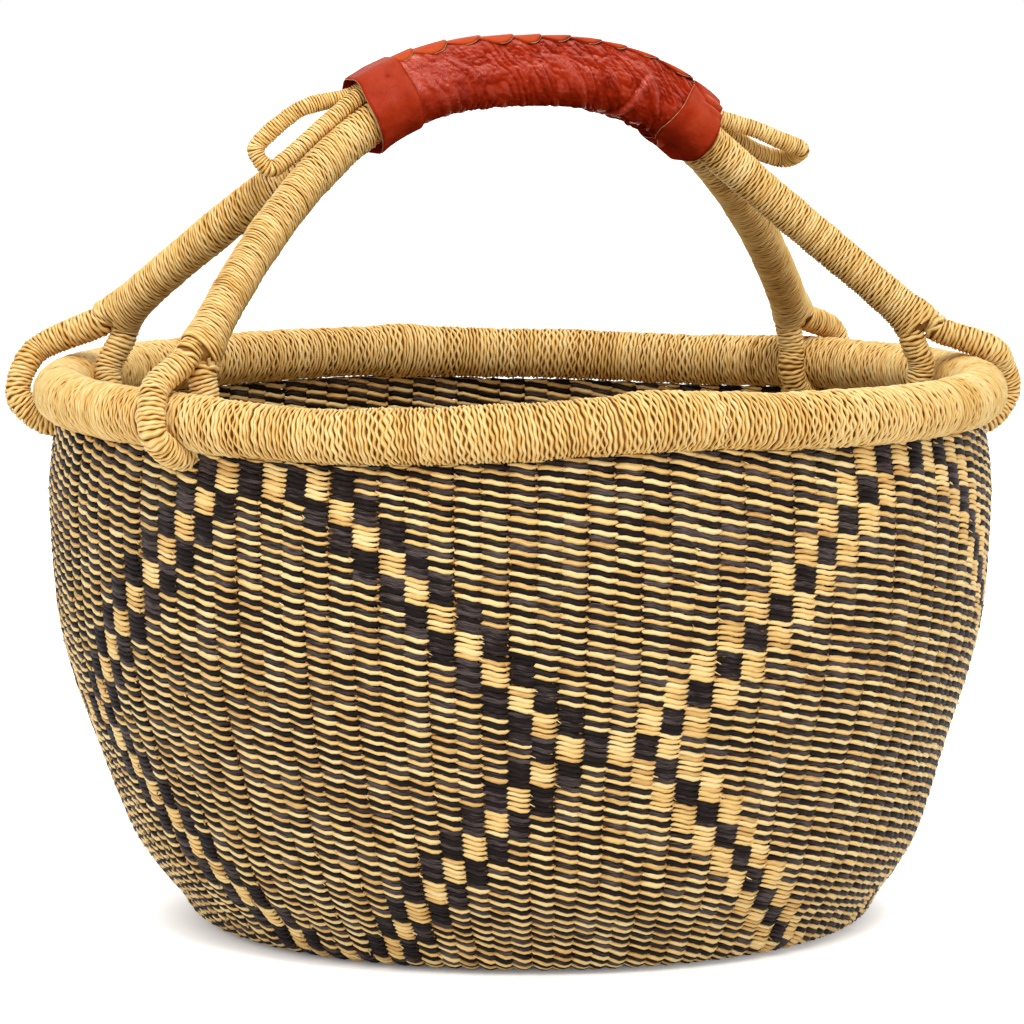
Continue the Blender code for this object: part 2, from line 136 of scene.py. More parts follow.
def wander(rng: np.random.Generator, knots: int, at: Array) -> Array:
    """Gives smooth random values that close on themselves.

    Args:
        rng: The source of random numbers.
        knots: How many independent values there are from 0 to 1.
        at: Where the values are wanted, with 1 the same place as 0.

    Returns:
        A value from about -1 to 1 for each place.
    """
    values = rng.uniform(-1.0, 1.0, knots)
    place = np.mod(at, 1.0) * knots
    first = np.floor(place).astype(int) % knots
    part = eased(place - np.floor(place))
    return values[first] * (1 - part) + values[(first + 1) % knots] * part


def through(knots: tuple[tuple[float, float], ...], azimuth: Array) -> Array:
    """Reads a smooth closed curve through (azimuth, value) knots.

    Args:
        knots: Azimuths in rising order, each with its value.
        azimuth: Where the values are wanted.

    Returns:
        A value for each azimuth.
    """
    places, values = np.array(knots).T
    places = np.concatenate([places[-1:] - 360.0, places, places[:1] + 360.0])
    values = np.concatenate([values[-1:], values, values[:1]])
    at = np.mod(azimuth - places[0], 360.0) + places[0]
    index = np.clip(np.searchsorted(places, at, side="right") - 1, 0, len(places) - 2)
    part = eased((at - places[index]) / (places[index + 1] - places[index]))
    return values[index] * (1 - part) + values[index + 1] * part


def bell(at: Array, reach: float, least: float) -> Array:
    """A smooth hump that is 1 at 0 and sinks to its least value at its reach on either side."""
    return least + (1 - least) * np.maximum(1 - np.abs(at / reach) ** 2.6, 0.0) ** 0.85


def dapple(rng: np.random.Generator, cells: tuple[int, int], along: Array, around: Array) -> Array:
    """Makes smooth random hills over a sheet that closes on itself one way.

    Args:
        rng: The source of random numbers.
        cells: How many hills there are along and around the sheet.
        along: Places from 0 to 1 along the sheet.
        around: Places round it, with 1 the same place as 0.

    Returns:
        A height from about -1 to 1 for each place.
    """
    grid = rng.uniform(-1.0, 1.0, (cells[0] + 2, cells[1]))
    far = np.clip(along, 0.0, 1.0) * cells[0]
    turn = np.mod(around, 1.0) * cells[1]
    row, column = np.floor(far).astype(int), np.floor(turn).astype(int) % cells[1]
    far, turn = eased(far - np.floor(far)), eased(turn - np.floor(turn))
    after = (column + 1) % cells[1]
    low = grid[row, column] * (1 - turn) + grid[row, after] * turn
    high = grid[row + 1, column] * (1 - turn) + grid[row + 1, after] * turn
    return low * (1 - far) + high * far


@dataclass(frozen=True)
class Ridge:
    """A smooth ridge, or a groove where its height is negative."""

    middle: float
    width: float
    height: float = 1.0

    def over(self, values: Array) -> Array:
        """Its height at these places."""
        return self.height * np.exp(-(((values - self.middle) / self.width) ** 2))


@dataclass
class Path:
    """A line in space with a side and an up direction carried along it."""

    points: Array
    side: Array
    closed: bool = False
    sides: Array = field(init=False)
    ups: Array = field(init=False)
    places: Array = field(init=False)

    def __post_init__(self) -> None:
        """Works out the directions and the distance travelled at each point."""
        if self.closed:
            ahead = np.roll(self.points, -1, axis=0) - np.roll(self.points, 1, axis=0)
            tangents = unit(np.concatenate([ahead, ahead[:1]]))
            self.points = np.concatenate([self.points, self.points[:1]])
        else:
            tangents = unit(np.gradient(self.points, axis=0))
        side = np.asarray(self.side, float)
        sides = []
        for tangent in tangents:
            side = side - tangent * np.dot(side, tangent)
            side = side / np.linalg.norm(side)
            sides.append(side)
        self.sides = np.array(sides)
        self.ups = np.cross(tangents, self.sides)
        self.places = travelled(self.points)

    @property
    def length(self) -> float:
        """The whole distance along the path."""
        return float(self.places[-1])

    def read(self, at: Array) -> tuple[Array, Array, Array]:
        """Reads the path at some distances along it.

        Args:
            at: Distances from the start. On a closed path they may run past its ends.

        Returns:
            The points, sides and ups there.
        """
        if self.closed:
            at = np.mod(at, self.length)
        point, side, up = (read_columns(at, self.places, v) for v in (self.points, self.sides, self.ups))
        return point, unit(side), unit(up)

    def rings(self, at: Array, wide: Array, tall: Array, turn: Array) -> Array:
        """Oval rings round the path.

        Args:
            at: Distances from the start, one for each ring.
            wide: Their radii to the side.
            tall: Their radii upwards.
            turn: The angles of a ring's points, in radians.

        Returns:
            The rings, as rings by sides by 3.
        """
        point, side, up = self.read(at)
        return (
            point[:, None, :]
            + side[:, None, :] * wide[:, None, None] * np.cos(turn)[None, :, None]
            + up[:, None, :] * tall[:, None, None] * np.sin(turn)[None, :, None]
        )


# Meshes made of rings


@dataclass
class RingMesh:
    """Collects tubes made of equal rings, each with its own patch of the map and its own tone."""

    name: str
    points: list[Array] = field(default_factory=list)
    corners: list[Array] = field(default_factory=list)
    sizes: list[Array] = field(default_factory=list)
    maps: list[Array] = field(default_factory=list)
    grains: list[Array] = field(default_factory=list)
    tones: list[Array] = field(default_factory=list)
    total: int = 0

    def add(self, rings: Array, tones: Array, girth: float, grain: Array, capped: bool = True) -> None:
        """Adds tubes of the same make.

        Args:
            rings: Corner points, as tubes by rings by sides by 3.
            tones: A tone from 0 to 1 for each ring, as tubes by rings, or for each point of it.
            girth: The distance round a tube, for the grain.
            grain: Where each tube lies in the grain, one value each.
            capped: Whether the two ends are closed.
        """
        tubes, count, sides = rings.shape[:3]
        index = np.arange(tubes * count * sides).reshape(tubes, count, sides) + self.total
        along = np.linalg.norm(np.diff(rings.mean(axis=2), axis=1), axis=2)
        along = np.concatenate([np.zeros((tubes, 1)), np.cumsum(along, axis=1)], axis=1)
        next_side = np.roll(index, -1, axis=2)
        quads = np.stack([index[:, :-1], next_side[:, :-1], next_side[:, 1:], index[:, 1:]], axis=-1)
        u = np.broadcast_to((np.arange(count) / (count - 1))[None, :, None], index.shape)
        low = np.broadcast_to((np.arange(sides) / sides)[None, None, :], index.shape)
        high = low + 1 / sides
        map_u = np.stack([u[:, :-1], u[:, :-1], u[:, 1:], u[:, 1:]], axis=-1)
        map_v = np.stack([low[:, :-1], high[:, :-1], high[:, 1:], low[:, 1:]], axis=-1)
        far = np.broadcast_to((along + grain[:, None])[:, :, None], index.shape)
        far = np.stack([far[:, :-1], far[:, :-1], far[:, 1:], far[:, 1:]], axis=-1)
        cell = np.broadcast_to(np.arange(tubes)[:, None, None, None], map_u.shape)
        self.points.append(rings.reshape(-1, 3))
        spread = tones if tones.ndim == 3 else tones[:, :, None]
        self.tones.append(np.broadcast_to(spread, index.shape).reshape(-1))
        self.corners.append(quads.reshape(-1))
        self.sizes.append(np.full(quads.size // 4, 4))
        self.maps.append(np.stack([cell.reshape(-1), map_u.reshape(-1), map_v.reshape(-1)], axis=-1))
        self.grains.append(np.stack([far.reshape(-1), map_v.reshape(-1) * girth], axis=-1))
        if capped:
            for end, order in ((0, slice(None, None, -1)), (-1, slice(None))):
                self.corners.append(index[:, end, order].reshape(-1))
                self.sizes.append(np.full(tubes, sides))
                spot = np.repeat(np.arange(tubes), sides)
                edge = np.full(spot.shape, 0.0 if end == 0 else 1.0)
                turn = np.tile(np.arange(sides) / sides, tubes)
                self.maps.append(np.stack([spot, edge, turn], axis=-1))
                self.grains.append(np.stack([edge * 0, turn * girth], axis=-1))
        self.total += index.size

    def build(self, finish: "Finish") -> bpy.types.Object:
        """Makes the object.

        Args:
            finish: What the piece is finished with.

        Returns:
            The new object, linked to the scene.
        """
        corners = np.concatenate(self.corners).astype(np.int32)
        sizes = np.concatenate(self.sizes)
        mesh = bpy.data.meshes.new(self.name)
        mesh.vertices.add(self.total)
        mesh.vertices.foreach_set("co", np.concatenate(self.points).astype(np.float32).reshape(-1))
        mesh.loops.add(len(corners))
        mesh.loops.foreach_set("vertex_index", corners)
        mesh.polygons.add(len(sizes))
        starts = np.concatenate([[0], np.cumsum(sizes)[:-1]]).astype(np.int32)
        mesh.polygons.foreach_set("loop_start", starts)
        mesh.update(calc_edges=True)
        mesh.validate()
        cells = np.concatenate(self.maps)
        count = int(cells[:, 0].max()) + 1
        columns = max(1, round(math.sqrt(count / CELL_SHAPE)))
        rows = math.ceil(count / columns)
        u = (cells[:, 0] % columns + CELL_MARGIN + cells[:, 1] * (1 - 2 * CELL_MARGIN)) / columns
        v = (cells[:, 0] // columns + CELL_MARGIN + cells[:, 2] * (1 - 2 * CELL_MARGIN)) / rows
        baked = mesh.uv_layers.new(name="OFBake")
        baked.data.foreach_set("uv", np.stack([u, v], axis=-1).astype(np.float32).reshape(-1))
        grain = mesh.uv_layers.new(name="Grain")
        grain.data.foreach_set("uv", np.concatenate(self.grains).astype(np.float32).reshape(-1))
        tone = mesh.attributes.new("tone", "FLOAT", "POINT")
        tone.data.foreach_set("value", np.concatenate(self.tones).astype(np.float32))
        mesh.shade_smooth()
        mesh.materials.append(finish.material())
        return place_object(self.name, mesh)


def place_object(name: str, data: bpy.types.ID, place: Array = ORIGIN) -> bpy.types.Object:
    """Puts an object in the scene.

    Args:
        name: Its name.
        data: Its mesh, lamp or camera.
        place: Where it stands.

    Returns:
        The object.
    """
    made = bpy.data.objects.new(name, data)
    made.location = place
    bpy.context.scene.collection.objects.link(made)
    return made


def dressed(piece: bpy.types.Object, slot: str, *nodes: str) -> None:
    """Puts a finished piece on the basket.

    Args:
        piece: The new object.
        slot: The material slot of the record that its finish belongs to. Not used.
        *nodes: The solids that it stands for.
    """
    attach(piece, "root")
    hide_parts(*nodes)
    LOG.info("%s: %d faces", piece.name, len(piece.data.polygons))


# Finishes


Colour = tuple[float, float, float]
WHITE = (1.0, 1.0, 1.0)
BLACK = (0.0, 0.0, 0.0)


class Nodes:
    """Adds nodes to a node tree and links them."""

    def __init__(self, tree: bpy.types.NodeTree) -> None:
        """Takes the tree to add to."""
        self.tree = tree

    def add(self, kind: str, values: dict | None = None, **settings: object) -> bpy.types.Node:
        """Adds a node.

        Args:
            kind: The node's type name, without its ShaderNode prefix.
            values: Values of its sockets by name or number. A socket value is linked instead.
            **settings: Settings of the node itself.

        Returns:
            The node.
        """
        node = self.tree.nodes.new("ShaderNode" + kind)
        for key, value in settings.items():
            setattr(node, key, value)
        self.feed(node, values or {})
        return node

    def feed(self, node: bpy.types.Node, values: dict) -> None:
        """Sets a node's sockets to values, or links other nodes' sockets to them.

        Args:
            node: The node to feed.
            values: What each of its sockets gets, by the socket's name or number.
        """
        for key, value in values.items():
            if isinstance(value, bpy.types.NodeSocket):
                self.tree.links.new(value, node.inputs[key])
            else:
                node.inputs[key].default_value = value

    def ramp(
        self, factor: bpy.types.NodeSocket, stops: tuple[tuple[float, Colour], ...]
    ) -> bpy.types.NodeSocket:
        """Adds a colour ramp.

        Args:
            factor: What drives the ramp.
            stops: Places from 0 to 1, each with its colour.

        Returns:
            The ramp's colour.
        """
        node = self.add("ValToRGB", {"Fac": factor})
        elements = node.color_ramp.elements
        while len(elements) < len(stops):
            elements.new(0.5)
        for element, (place, colour) in zip(elements, stops):
            element.position = place
            element.color = (*colour, 1.0)
        return node.outputs["Color"]

    def noise(
        self, vector: bpy.types.NodeSocket, scale: float, detail: float, **more: float
    ) -> bpy.types.NodeSocket:
        """Adds a noise texture.

        Args:
            vector: Where the noise is read.
            scale: How many cells it has in a metre.
            detail: How many finer layers it has.
            **more: Any more of its values, by name.

        Returns:
            The noise, from 0 to 1.
        """
        values = {"Vector": vector, "Scale": scale, "Detail": detail}
        values.update({name.capitalize(): value for name, value in more.items()})
        return self.add("TexNoise", values).outputs["Fac"]

    def math(self, operation: str, *values: object) -> bpy.types.NodeSocket:
        """Adds one sum, product or other operation on values or sockets."""
        node = self.add("Math", dict(enumerate(values)), operation=operation)
        return node.outputs[0]

    def swing(self, value: bpy.types.NodeSocket, spread: float, middle: float = 0.0) -> bpy.types.NodeSocket:
        """Turns a value from 0 to 1 into one that swings about a middle by half the spread each way."""
        return self.math("MULTIPLY_ADD", value, spread, middle - spread / 2)

    def seen(self) -> bpy.types.NodeSocket:
        """1 for rays from the camera, off a shine or through glass, and 0 for those that carry light."""
        light = self.add("LightPath").outputs
        seen = self.math("MAXIMUM", light["Is Camera Ray"], light["Is Glossy Ray"])
        return self.math("MAXIMUM", seen, light["Is Transmission Ray"])


@dataclass(frozen=True)
class Finish:
    """What a piece's surface is made of."""

    name: str
    pale: Colour
    deep: Colour

    def material(self) -> bpy.types.Material:
        """Makes the finish into a material, or finds the one made before.

        Returns:
            The material.
        """
        if self.name in bpy.data.materials:
            return bpy.data.materials[self.name]
        made = bpy.data.materials.new(self.name)
        made.use_nodes = True
        nodes = Nodes(made.node_tree)
        nodes.feed(made.node_tree.nodes["Principled BSDF"], self.surface(nodes))
        return made

    def surface(self, nodes: Nodes) -> dict:
        """Builds the finish's nodes.

        Args:
            nodes: The material's nodes.

        Returns:
            What feeds each socket of the shader, by the socket's name.
        """
        raise NotImplementedError


@dataclass(frozen=True)
class GrassFinish(Finish):
    """Split grass: fine fibres along each strand, and a tone that changes from strand to strand."""

    middle: Colour
    roughness: float = 0.5
    fibre_width: float = 0.00022
    fibre_length: float = 0.006
    fibre_relief: float = 0.35
    fibre_depth: float = 0.0002
    roughness_spread: float = 0.25
    blotch_scale: float = 55.0
    blotch_strength: float = 0.5
    shine: float = 0.35
    contrast: float = 0.8
    middle_place: float = 0.45

    def surface(self, nodes: Nodes) -> dict:
        """Builds the fibres, the blotches and the tone."""
        grain = nodes.add("UVMap", uv_map="Grain").outputs["UV"]
        scale = (1 / self.fibre_length, 1 / self.fibre_width, 1.0)
        fibres = nodes.noise(nodes.add("Mapping", {"Vector": grain, "Scale": scale}).outputs[0], 1.0, 2.0)
        blotch = nodes.noise(nodes.add("TexCoord").outputs["Object"], self.blotch_scale, 2.0)
        tone = nodes.add("Attribute", attribute_name="tone").outputs["Fac"]
        level = nodes.math("ADD", tone, nodes.swing(fibres, self.contrast))
        level = nodes.math("ADD", level, nodes.swing(blotch, self.blotch_strength))
        stops = ((0.0, self.deep), (self.middle_place, self.middle), (1.0, self.pale))
        relief = {"Height": fibres, "Strength": self.fibre_relief, "Distance": self.fibre_depth}
        return {
            "Base Color": nodes.ramp(level, stops),
            "Roughness": nodes.swing(fibres, self.roughness_spread, self.roughness),
            "Specular IOR Level": self.shine,
            "Normal": nodes.add("Bump", relief).outputs["Normal"],
        }


@dataclass(frozen=True)
class LeatherFinish(Finish):
    """Dyed goat leather: pebbled grain, creases, rubbed pale places and dye that pools darker, with a painted
    highlight colour at the top of its ramp.
    """

    middle: Colour
    roughness: float
    shine: float
    relief: float
    relief_depth: float = 0.0005
    pore_size: float = 0.0016
    cloud_strength: float = 0.9
    rub_strength: float = 0.5
    roughness_spread: float = 0.2
    level_strength: float = 0.8
    cloud_scale: float = 38.0
    rub_scale: float = 160.0
    crease_scale: float = 520.0
    fine_scale: float = 1900.0
    fine_share: float = 0.35
    crease_share: float = 2.2
    # Painted highlight: added to the pale colour at the top of the ramp.
    highlight_lift: Colour = (0.18, 0.14, 0.09)
    dull_tone: float = 0.46
    shiny_tone: float = 0.90

    def surface(self, nodes: Nodes) -> dict:
        """Builds the pores, the creases, the rubbed places and the clouds of dye."""
        place = nodes.add("TexCoord").outputs["Object"]
        cloud = nodes.noise(place, self.cloud_scale, 4.0, roughness=0.6)
        rubbed = nodes.noise(place, self.rub_scale, 3.0)
        pores = nodes.add("TexVoronoi", {"Vector": place, "Scale": 1 / self.pore_size}, feature="SMOOTH_F1")
        fine = nodes.noise(place, self.fine_scale, 2.0)
        creased = nodes.noise(place, self.crease_scale, 3.0, distortion=0.8)
        tone = nodes.add("Attribute", attribute_name="tone").outputs["Fac"]
        level = nodes.math("ADD", tone, nodes.swing(cloud, self.cloud_strength))
        level = nodes.math("ADD", level, nodes.swing(rubbed, self.rub_strength))
        level = nodes.math("MULTIPLY", level, self.level_strength)
        # Painted highlight: the top of the ramp is a paler colour, reached where the tone carries painted
        # light; the tone also scales the shine.
        highlight_colour = tuple(channel + more for channel, more in zip(self.pale, self.highlight_lift))
        stops = ((0.08, self.deep), (0.40, self.middle), (0.76, self.pale), (1.0, highlight_colour))
        glossy = nodes.ramp(tone, ((self.dull_tone, BLACK), (self.shiny_tone, WHITE)))
        relief = nodes.math("ADD", pores.outputs["Distance"], nodes.math("MULTIPLY", fine, self.fine_share))
        relief = nodes.math("MULTIPLY_ADD", creased, self.crease_share, relief)
        relief = {"Height": relief, "Strength": self.relief, "Distance": self.relief_depth}
        return {
            "Base Color": nodes.ramp(level, stops),
            "Roughness": nodes.swing(rubbed, self.roughness_spread, self.roughness),
            "Specular IOR Level": nodes.math("MULTIPLY", glossy, self.shine),
            "Normal": nodes.add("Bump", relief).outputs["Normal"],
        }


@dataclass(frozen=True)
class RawEdgeFinish(Finish):
    """The cut edge of the leather, pale and fibrous."""

    roughness: float = 0.8
    relief: float = 0.3
    relief_depth: float = 0.0003
    cloud_scale: float = 420.0

    def surface(self, nodes: Nodes) -> dict:
        """Builds the pale, fibrous edge."""
        cloud = nodes.noise(nodes.add("TexCoord").outputs["Object"], self.cloud_scale, 3.0)
        relief = {"Height": cloud, "Strength": self.relief, "Distance": self.relief_depth}
        return {
            "Base Color": nodes.ramp(cloud, ((0.3, self.deep), (0.7, self.pale))),
            "Roughness": self.roughness,
            "Normal": nodes.add("Bump", relief).outputs["Normal"],
        }


GRASS = {
    Tone.NATURAL: GrassFinish(
        "natural_grass",
        pale=(0.98, 0.78, 0.40),
        middle=(0.88, 0.58, 0.20),
        deep=(0.42, 0.19, 0.045),
        shine=0.25,
    ),
    Tone.DARK: GrassFinish(
        "dyed_grass",
        pale=(0.115, 0.086, 0.080),
        middle=(0.0115, 0.0063, 0.0050),
        deep=(0.003, 0.0014, 0.0009),
        middle_place=0.60,
        roughness=0.55,
        fibre_relief=0.7,
        shine=0.10,
        contrast=1.5,
    ),
}
WINDING_STRAW = GrassFinish(
    "winding_straw",
    pale=(0.96, 0.75, 0.36),
    middle=(0.80, 0.475, 0.125),
    deep=(0.32, 0.12, 0.014),
    shine=0.20,
)
# Painted shade: the bundle is the real core of grass, but it is coloured darker and browner than the straw to
# stand for the shade in the gaps between the turns.
SHADED_BUNDLE_GRASS = GrassFinish(
    "bundled_grass",
    pale=(0.48, 0.25, 0.05),
    middle=(0.28, 0.12, 0.020),
    deep=(0.12, 0.045, 0.006),
    roughness=0.8,
)
SLEEVE_LEATHER = LeatherFinish(
    "sleeve_leather",
    pale=(0.47, 0.050, 0.016),
    middle=(0.32, 0.020, 0.0040),
    deep=(0.08, 0.005, 0.0015),
    roughness=0.24,
    shine=0.42,
    relief=0.55,
    pore_size=0.0021,
)
CUFF_LEATHER = LeatherFinish(
    "cuff_leather",
    pale=(0.48, 0.060, 0.020),
    middle=(0.35, 0.029, 0.0075),
    deep=(0.14, 0.008, 0.0025),
    roughness=0.40,
    shine=0.20,
    relief=0.35,
)
SEAM_LEATHER = LeatherFinish(
    "seam_leather",
    pale=(0.62, 0.100, 0.027),
    middle=(0.50, 0.062, 0.015),
    deep=(0.20, 0.016, 0.005),
    roughness=0.45,
    shine=0.12,
    relief=0.3,
)
RAW_EDGE = RawEdgeFinish("leather_raw_edge", pale=(0.50, 0.33, 0.18), deep=(0.26, 0.11, 0.05))


# The bowl


@dataclass
class WallLine:
    """The bowl's outline, from its top edge down the wall and in along the base."""

    widest_radius: float
    base_radius: float
    neck_height: float
    neck_radius: float
    inset: float
    corner_steps: int = 14
    outline_shares: tuple[tuple[float, float], ...] = (
        (0.000, 0.000),
        (0.095, 0.0045),
        (0.185, 0.022),
        (0.266, 0.063),
        (0.391, 0.113),
        (0.521, 0.181),
        (0.626, 0.271),
        (0.743, 0.384),
        (0.862, 0.497),
        (0.946, 0.609),
        (0.982, 0.722),
        (1.000, 0.858),
        (0.985, 0.930),
    )
    base_steps: int = 89
    radii: Array = field(init=False)
    heights: Array = field(init=False)
    outs: Array = field(init=False)
    rises: Array = field(init=False)
    places: Array = field(init=False)
    wall_length: float = field(init=False)

    def __post_init__(self) -> None:
        """Runs a smooth line through the outline and moves it in by half the wall."""
        grow = self.widest_radius - self.base_radius
        points = [(self.base_radius + out * grow, up * self.neck_height) for out, up in self.outline_shares]
        points.append((self.neck_radius, self.neck_height))
        wall = smooth_curve(np.array(points[::-1]), self.corner_steps)
        base = np.linspace(self.base_radius, 0.0, self.base_steps + 1)[1:]
        line = np.concatenate([wall, np.stack([base, np.zeros(self.base_steps)], axis=-1)])
        ahead = unit(np.gradient(line, axis=0))
        normals = np.stack([-ahead[:, 1], ahead[:, 0]], axis=-1)
        line = line - normals * self.inset
        self.places = travelled(line)
        self.wall_length = float(self.places[len(wall) - 1])
        self.radii, self.heights = line[:, 0], line[:, 1]
        self.outs, self.rises = normals[:, 0], normals[:, 1]

    def read(self, down: Array) -> tuple[Array, Array, Array, Array]:
        """Reads the line at distances from its top edge.

        Args:
            down: Distances along the line.

        Returns:
            The radius, the height, and how far the outward direction points out and up.
        """
        found = (np.interp(down, self.places, v) for v in (self.radii, self.heights, self.outs, self.rises))
        radius, height, out, rise = found
        length = np.hypot(out, rise)
        return radius, height, out / length, rise / length


RIM_WAVE = (
    (-160.0, -0.8),
    (-147.0, -2.4),
    (-137.0, -3.4),
    (-126.0, -2.2),
    (-113.5, -0.3),
    (-105.0, 1.8),
    (-98.0, 3.7),
    (-91.0, 3.2),
    (-80.0, 1.4),
    (-60.0, 0.3),
    (-30.0, 0.0),
    (23.0, -0.6),
    (44.0, -2.3),
    (66.0, -0.8),
    (88.0, 1.3),
    (120.0, 0.5),
    (160.0, 0.0),
)
STAKE_WANDER = (
    (-170.0, 0.0),
    (-158.0, 0.5),
    (-143.0, 0.7),
    (-129.0, 0.0),
    (-113.0, -0.7),
    (-98.0, -1.0),
    (-78.0, -0.8),
    (-66.0, 0.0),
)


def rim_wave(azimuth: Array) -> Array:
    """How far the rim stands above its mean height at these azimuths."""
    return through(RIM_WAVE, azimuth) * MM


@dataclass(frozen=True)
class Diamonds:
    """One upright row of diamonds: where its middle stands, and the colour in the middle of its edges."""

    column: int
    middle: Tone


@dataclass
class Stitches:
    """Stitches of one colour on one side of the weave: their columns and distances from the top edge."""

    columns: Array
    downs: Array
    stakes: int
    tone: Tone
    face: Face
    fine: bool

    @property
    def places(self) -> Array:
        """Where the rings of a stitch lie, in columns from its stake."""
        if self.fine:
            return np.array((-0.62, -0.41, -0.15, 0.15, 0.41, 0.62))
        return np.array((-0.62, -0.33, 0.0, 0.33, 0.62))

    @property
    def turn(self) -> Array:
        """The angles of the points of a ring, in radians."""
        return round_turn(6 if self.fine else 5)


@dataclass
class WovenBowl:
    """The bowl: pairs of grass strands twined round upright stakes, row below row."""

    line: WallLine
    stakes: int = 116
    row_pitch: float = 0.00225
    reach: float = 0.0016
    reach_setback: float = 0.0001
    dip: float = 0.00072
    row_stray: float = 0.00018
    lap: float = 0.00035
    half_thickness: float = 0.00080
    natural_half_width: float = 0.00116
    dark_half_width: float = 0.00142
    broad_share: float = 0.07
    broad_gain: float = 1.30
    tip_shift: float = 0.10
    tip_reach: float = 0.70
    tip_share: float = 0.16
    inner_tip_share: float = 0.85
    middle_tone: float = 0.62
    tone_spread: float = 0.28
    tip_shade: float = 0.12
    # Painted shade on the flanks of each stitch, where it meets the rows above and below.
    natural_crease_shade: float = 0.36
    dark_crease_shade: float = 0.16
    top_gap: float = -0.0046
    head_rows: int = 3
    tilt: float = 0.0018
    long_wave: float = 0.00035
    short_wave: float = 0.0002
    wave_fade: float = 0.045
    twist: float = 1.7
    first_azimuth: float = -143.74
    front_azimuth: float = -113.5
    front_spread: float = 0.7
    drift: float = 0.22
    step_rows: int = 5
    diamond_gap: int = 7
    narrowest: int = 2
    lean: float = 0.0052
    lean_height: float = 0.105
    lean_azimuth: float = -23.5
    stake_radius: float = 0.0011
    stake_flatness: float = 0.8
    stake_top: float = -0.006
    stake_end: float = 0.008
    base_hole: float = 0.011
    half_stakes_at: float = 0.088
    quarter_stakes_at: float = 0.042
    highest: float = -0.0010
    least_radius: float = 0.02
    peg_share: float = 0.22
    peg_run: float = 0.0016
    peg_drop: float = 0.0009
    peg_radius: float = 0.00050
    peg_gap: float = 0.0002
    peg_lift: float = 0.0007
    peg_stray: float = 0.0002
    peg_column: float = 0.45
    bare_rows: int = 4
    diamonds: tuple[Diamonds, ...] = (
        Diamonds(0, Tone.NATURAL),
        Diamonds(27, Tone.DARK),
        Diamonds(58, Tone.NATURAL),
        Diamonds(89, Tone.DARK),
    )
    seed: int = 11

    @property
    def rows(self) -> int:
        """How many rows the wall has."""
        return int((self.line.wall_length - self.top_gap) / self.row_pitch)

    def pattern(self) -> Array:
        """Works out the colour of each stitch that shows on the outside.

        Returns:
            1 for a dark stitch and 0 for a natural one, as rows by columns.
        """
        row, column = np.meshgrid(np.arange(self.rows), np.arange(self.stakes), indexing="ij")
        dark = (row + column) % 2
        for left, right in zip(self.diamonds, self.diamonds[1:] + self.diamonds[:1]):
            widest = ((right.column - left.column) % self.stakes - self.diamond_gap) // 2
            for at in range(self.head_rows, self.rows):
                block = ((at - self.head_rows) // self.step_rows) % (2 * widest)
                reach = self.narrowest + min(block, 2 * widest - block)
                edges = ((left.column + reach, left.middle), (right.column - reach, right.middle))
                for middle, tone in edges:
                    for side in (-1, 0, 1):
                        dark[at, (middle + side) % self.stakes] = tone.value if side == 0 else 1 - tone.value
                if reach == self.narrowest:
                    dark[at, left.column] = left.middle.value
        return dark

    def surface(self, azimuth: Array, down: Array, off: Array) -> Array:
        """Places points on the wall.

        Args:
            azimuth: Degrees round the axis.
            down: Distances from the wall's top edge.
            off: Distances outwards from the wall's middle.

        Returns:
            The points.
        """
        radius, height, out, rise = self.line.read(down)
        lift = rim_wave(azimuth) * eased(np.clip(1 - down / self.wave_fade, 0.0, 1.0))
        radius = radius + off * out
        height = height + off * rise
        turn = np.radians(azimuth - self.twist * np.clip(down / self.line.wall_length, 0.0, 1.0) ** 2)
        lean = level_direction(self.lean_azimuth) * self.lean
        low = np.clip(1 - height / self.lean_height, 0.0, 1.0) ** 1.5
        points = (radius * np.cos(turn) + lean[0] * low, radius * np.sin(turn) + lean[1] * low, height + lift)
        return np.stack(points, axis=-1)

    def azimuth(self, columns: Array, stakes: int | None = None) -> Array:
        """The azimuths of columns among so many stakes, which stand a little wider apart at the front."""
        even = self.first_azimuth + columns * (360.0 / (stakes or self.stakes))
        spread = self.front_spread * np.sin(np.radians(even - self.front_azimuth))
        return even + spread + through(STAKE_WANDER, even)

    def stake_drift(self, columns: Array, downs: Array) -> Array:
        """How far, in degrees, each stake strays from its even place at some distances down."""
        wave = np.sin(columns * 2.4 + downs * 31.0) + np.sin(columns * 5.1 - downs * 17.0 + 1.3)
        return self.drift * wave

    def row_downs(self, rows: Array, columns: Array) -> Array:
        """Works out how far down stitches lie. The rows sink a little towards one side.

        Args:
            rows: Their rows.
            columns: Their columns.

        Returns:
            Their distances from the top edge.
        """
        even = np.radians(self.azimuth(columns) - self.front_azimuth)
        return self.top_gap + (rows + 0.5) * self.row_pitch - self.tilt * np.sin(even)

    def lenses(self, rng: np.random.Generator, made: Stitches) -> tuple[Array, Array]:
        """Shapes stitches, each a lens of grass that comes out, passes over a stake and goes back in.

        Args:
            rng: The source of random numbers.
            made: The stitches to shape.

        Returns:
            The rings, as stitches by rings by sides by 3, and a tone for each point of them, with painted
            shade at the tips and on the flanks.
        """
        n, places, turn = len(made.downs), made.places, made.turn
        is_dark, outside = made.tone is Tone.DARK, made.face is Face.OUTSIDE

        def one(spread: float) -> Array:
            """Draws one random value for each stitch."""
            return rng.uniform(-spread, spread, n)[:, None]

